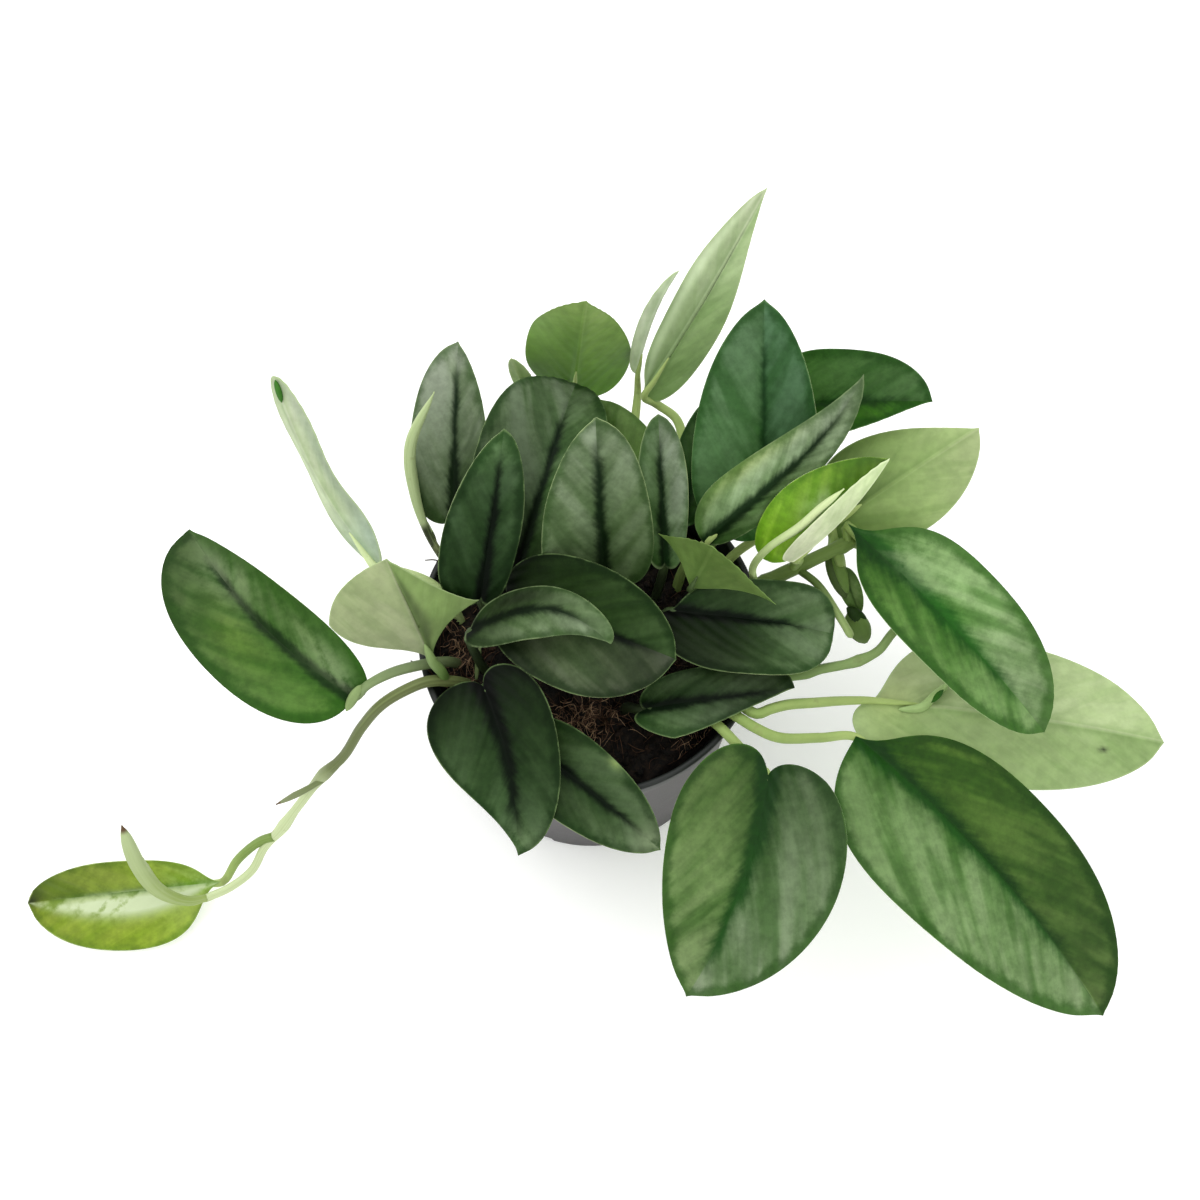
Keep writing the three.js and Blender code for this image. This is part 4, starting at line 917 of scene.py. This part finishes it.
def potFinish():
    # grey plastic, clouded and lightly scuffed round the wall, near black inside as painted shade, and near
    # black on the band
    shader = Shader("pot_plastic")
    where = shader.place()
    x, y, z = shader.split(where)
    cloud = shader.noise(where, scale=35, detail=4)
    scuff = shader.noise(shader.vector(x * 60, y * 60, z * 900), detail=4, rough=0.65)
    fine = shader.noise(where, scale=1800, detail=2)
    colour = shader.mix(shader.fade(cloud, 0.35, 0.7), tone(58, 54, 56), tone(76, 71, 74))
    colour = shader.mix(shader.fade(scuff, 0.6, 0.75) * 0.35, colour, tone(104, 98, 101))
    bandFoot = potShape["height"] - potShape["band"]
    far = (x * x + y * y) ** 0.5 * 1000 - potShape["foot"]
    # painted shade: the inside of the wall near black
    inner = shader.fade(far - z * 1000 * 0.062, 0.4, -0.4)
    band = shader.fade(z * 1000, bandFoot - 0.4, bandFoot + 0.4)
    colour = shader.mix(shader.mix(band, inner, (1, 1, 1, 1)), colour, tone(15, 21, 17))
    return shader.surface(base_color=colour, roughness=0.42 + 0.2 * cloud, specular_ior_level=0.35,
                          normal=shader.bump(scuff * 0.4 + fine * 0.3, 0.0003, 0.5))


makePot()
print("pot turned")


# Soil: a plug with a crumbly top, bark chips and fibres

soilShape = dict(top=93, radius=55.2, foot=47.5, low=2.6, chips=700, fibres=330, sectors=220, rings=70,
                 reach=53, grains=[(0.9, 4), (0.7, 2.2), (0.4, 1.3)], chipReach=52, chipShape=(1, 0.62, 0.4),
                 long=dict(height=1.2, reach=16, colour=(0.2, 0.9)),
                 short=dict(height=2, reach=8, colour=(0.7, 1.05)),
                 clumps=[(160, (3, -27, 0), (6, 4, 0)), (160, (-45, -5, 0), (4, 7, 0)),
                         (120, (-7, -32, 0), (6, 4, 0)), (90, (36, -33, 0), (6, 5, 0))],
                 roots=[[(-50, -17, 93), (-53, -17, 100), (-57, -14, 106.6), (-62, -12, 107)],
                        [(-50, 17, 93), (-53, 18, 102), (-58, 19, 107), (-62, 21, 106)],
                        [(-48, 20, 93), (-51, 23, 103), (-54, 25, 108), (-58, 25, 108)]])
dice = np.random.default_rng(11)


def patchNoise(x, y, cell, seed):
    # smooth random heights, -1 to 1, on a square lattice of the given cell
    table = np.random.default_rng(seed).uniform(-1, 1, (64, 64))
    u, v = x / cell + 32, y / cell + 32
    i, j = np.floor(u).astype(int), np.floor(v).astype(int)
    a, b = u - i, v - j
    a, b = a * a * (3 - 2 * a), b * b * (3 - 2 * b)
    pick = lambda p, q: table[(i + p) % 64, (j + q) % 64]
    return (pick(0, 0) * (1 - a) + pick(1, 0) * a) * (1 - b) + (pick(0, 1) * (1 - a) + pick(1, 1) * a) * b


def soilHeight(x, y):
    # the level top with broad waves and three sizes of grain on it
    lumps = 1.6 * np.sin(0.31 * x + 1.2) * np.cos(0.27 * y) + 1.1 * np.sin(0.63 * x - 0.5 * y)
    grains = [high * patchNoise(x, y, cell, seed) for seed, (high, cell) in enumerate(soilShape["grains"], 1)]
    return soilShape["top"] + lumps + sum(grains)


def soilFinish():
    shader = Shader("potting_mix")
    where = shader.place()
    grain = shader.noise(where, scale=420, detail=5, rough=0.7)
    patch = shader.noise(where, scale=110, detail=4)
    tint = shader.marks("bit")[0]
    colour = shader.mix(shader.fade(grain, 0.4, 0.75), tone(9, 8, 6), tone(40, 30, 21))
    colour = shader.mix(shader.fade(tint, 0.3, 1.0) * 0.8, colour, tone(92, 66, 48))
    colour = shader.mix(shader.fade(tint, 0.86, 1.0) * 0.8, colour, tone(176, 146, 116))
    colour = shader.mix(shader.fade(patch, 0.58, 0.75) * 0.4, colour, tone(66, 44, 30))
    return shader.surface(base_color=colour, roughness=0.8 + 0.15 * grain, specular_ior_level=0.2,
                          normal=shader.bump(grain, 0.0012, 0.8))


def chipShells(count):
    # bark chips: a small round lattice squashed and turned at random, resting on the soil
    lat = np.linspace(0, np.pi, 6)
    lon = np.linspace(0, 2 * np.pi, 7, endpoint=False)
    level, high = np.sin(lat)[:, None], np.cos(lat)[:, None]
    ball = np.stack([level * np.cos(lon), level * np.sin(lon), high + 0 * lon], -1)
    (flat,), index = closedGrid(ball, [])
    faces = skin(index)[:, ::-1]
    where = dice.uniform(0, 1, count) ** 0.5 * soilShape["chipReach"]
    angle = dice.uniform(0, 2 * np.pi, count)
    x, y = where * np.cos(angle), where * np.sin(angle)
    size = dice.uniform(0.6, 1.0, (count, 3)) * dice.uniform(0.6, 3.2, (count, 1)) * soilShape["chipShape"]
    rough = 1 + dice.uniform(-0.22, 0.22, (count, len(flat), 1))
    spin = dice.normal(size=(count, 3, 3))
    spin[:, 2] = spin[:, 2] * 0.35 + np.array([0, 0, 1])
    turn = np.linalg.qr(spin.transpose(0, 2, 1)[:, :, ::-1])[0][:, :, ::-1]
    turn = turn * np.sign(np.linalg.det(turn))[:, None, None]
    shape = np.einsum("nij,nvj->nvi", turn, flat[None] * size[:, None] * rough)
    centre = np.stack([x, y, soilHeight(x, y) + 0.25 * size[:, 2]], 1)
    points = (shape + centre[:, None]).reshape(-1, 3)
    every = (faces[None] + np.arange(count)[:, None, None] * len(flat)).reshape(-1, 3)
    tint = np.repeat(dice.uniform(0, 0.85, count) ** 4, len(flat))
    return points, every, 0, [np.stack([tint] * 3, 1)]


def fibreShells(count, centre, spread, height, reach, colour):
    # fibres: thin arcs lying across the soil, count of them round centre
    rings, sides = 9, 4
    t = np.linspace(0, 1, rings)[None, :, None]
    start = np.array(centre) + dice.normal(size=(count, 1, 3)) * np.array(spread)
    start[..., 2] = 0
    heading = dice.uniform(0, 2 * np.pi, (count, 1, 1))
    bend = dice.uniform(-2.6, 2.6, (count, 1, 1))
    length = dice.uniform(0.4, 1, (count, 1, 1)) * reach
    turn = heading + bend * t
    step = np.concatenate([np.cos(turn), np.sin(turn), 0 * turn], 2) * length / (rings - 1)
    path = start + np.cumsum(step, axis=1)
    far = np.hypot(path[..., 0], path[..., 1])
    path[..., :2] *= np.minimum(1, soilShape["reach"] / np.maximum(far, 1e-6))[..., None]
    arch = dice.uniform(0.3, 1, (count, 1)) * height
    path[..., 2] = soilHeight(path[..., 0], path[..., 1]) + 0.3 + arch * np.sin(np.pi * t[..., 0])
    tangent = unit(np.gradient(path, axis=1))
    side = unit(np.cross(tangent, [0.1, 0.2, 1.0]))
    other = np.cross(tangent, side)
    taper = np.sin(np.pi * np.linspace(0.06, 0.94, rings))[None, :, None, None] ** 0.4
    thin = dice.uniform(0.06, 0.16, (count, 1, 1, 1)) * taper
    around = (np.arange(sides) * np.pi / 2)[None, None, :, None]
    ring = path[:, :, None] + thin * (side[:, :, None] * np.cos(around) + other[:, :, None] * np.sin(around))
    cell = np.arange(rings * sides).reshape(rings, sides)
    cell[0] = cell[0, 0]
    cell[-1] = cell[-1, 0]
    faces = skin(np.concatenate([cell, cell[:, :1]], 1))
    points = ring.reshape(-1, 3)
    every = (faces[None] + np.arange(count)[:, None, None] * rings * sides).reshape(-1, 3)
    used, every = np.unique(every, return_inverse=True)
    tint = np.repeat(dice.uniform(*colour, count), rings * sides)[used]
    return points[used], every.reshape(-1, 3), 0, [np.stack([tint] * 3, 1)]


def makeSoil():
    # the plug from its underside up the wall and in over its top, with chips, fibres and three roots
    s = soilShape
    angle = np.linspace(0, 2 * np.pi, s["sectors"], endpoint=False)[None, :]
    wallRadius = np.array([0, s["foot"] * 0.5, s["foot"] - 1, s["foot"]])
    wallHeight = np.array([s["low"], s["low"], s["low"], s["low"] + 1])
    up = np.linspace(0, 1, 8)[1:]
    wallRadius = np.concatenate([wallRadius, s["foot"] + (s["radius"] - s["foot"]) * up])
    wallHeight = np.concatenate([wallHeight, s["low"] + 1 + (s["top"] - 4.5 - s["low"]) * up])
    inward = s["radius"] * np.linspace(0.995, 0, s["rings"])
    radius = np.concatenate([wallRadius, inward])[:, None]
    x, y = radius * np.cos(angle), radius * np.sin(angle)
    z = np.broadcast_to(np.concatenate([wallHeight, inward * 0])[:, None], x.shape).copy()
    top = soilHeight(x, y) - 2.2 * np.clip((radius - s["reach"]) / 2.2, 0, 1)
    z[len(wallRadius):] = top[len(wallRadius):]
    points = np.stack([x, y, z], -1)
    (flat, bit), index = closedGrid(points, [np.zeros(points.shape)])
    shells = [(flat, skin(index)[:, ::-1], 0, [bit]), chipShells(s["chips"]),
              fibreShells(s["fibres"], (0, 0, 0), (28, 28, 0), **s["long"])]
    shells += [fibreShells(*clump, **s["short"]) for clump in s["clumps"]]
    for root in s["roots"]:
        points, faces, slot = stemShell(root, lambda t, angle: 0.5 - 0.3 * t, sides=6, step=1.2)[:3]
        shells.append((points, faces, slot, [np.full(points.shape, 0.6)]))
    dress(makePiece("potting_mix", shells, [soilFinish()], ["bit"]), "soil")


makeSoil()
print("soil filled")


# Floor, camera and light

floorMesh = bpy.data.meshes.new("floor")
floorMesh.from_pydata([(-3, -3, 0), (3, -3, 0), (3, 3, 0), (-3, 3, 0)], [], [(0, 1, 2, 3)])
floor = bpy.data.objects.new("floor", floorMesh)
bpy.context.scene.collection.objects.link(floor)
white = (1, 1, 1, 1)
floorLook = dict(base_color=(0.97, 0.97, 0.97, 1), roughness=0.6, emission_color=white,
                 emission_strength=0.12)
floorMesh.materials.append(Shader("white_floor").surface(**floorLook))

# the photograph's camera: aim and distance are millimetres, focal and image are pixels of the photograph
photoView = dict(aim=(3.5, 9.8, 108.7), distance=800, elevation=69.2, focal=2296, image=1200, sensor=36)
tilt = math.radians(photoView["elevation"])
sight = Vector((0, math.cos(tilt), -math.sin(tilt)))
cameraData = bpy.data.cameras.new("camera")
cameraData.sensor_fit = "HORIZONTAL"
cameraData.sensor_width = photoView["sensor"]
cameraData.lens = photoView["focal"] / photoView["image"] * photoView["sensor"]
cameraData.clip_start = 0.01
camera = bpy.data.objects.new("camera", cameraData)
camera.location = (Vector(photoView["aim"]) - photoView["distance"] * sight) * mm
camera.rotation_euler = sight.to_track_quat("-Z", "Y").to_euler()
bpy.context.scene.collection.objects.link(camera)
bpy.context.scene.camera = camera

# the lamps' places and sizes are metres, their power watts, and they shine at the middle of the foliage
studio = dict(sky=1.2, aim=(0, 0, 0.08), key=7.5, keySize=1.0, keyPlace=(-0.45, 0.35, 1.25),
              fill=2.0, fillSize=0.8, fillPlace=(0.7, -0.6, 1.0))
world = bpy.data.worlds.new("studio")
world.use_nodes = True
sky = world.node_tree.nodes["Background"].inputs
sky["Color"].default_value = white
sky["Strength"].default_value = studio["sky"]
bpy.context.scene.world = world
for label in ("key", "fill"):
    lampData = bpy.data.lights.new(label, "AREA")
    lampData.energy = studio[label]
    lampData.size = studio[label + "Size"]
    lamp = bpy.data.objects.new(label, lampData)
    lamp.location = studio[label + "Place"]
    lamp.rotation_euler = (Vector(studio["aim"]) - lamp.location).to_track_quat("-Z", "Y").to_euler()
    bpy.context.scene.collection.objects.link(lamp)
bpy.context.scene.view_settings.view_transform = "Standard"
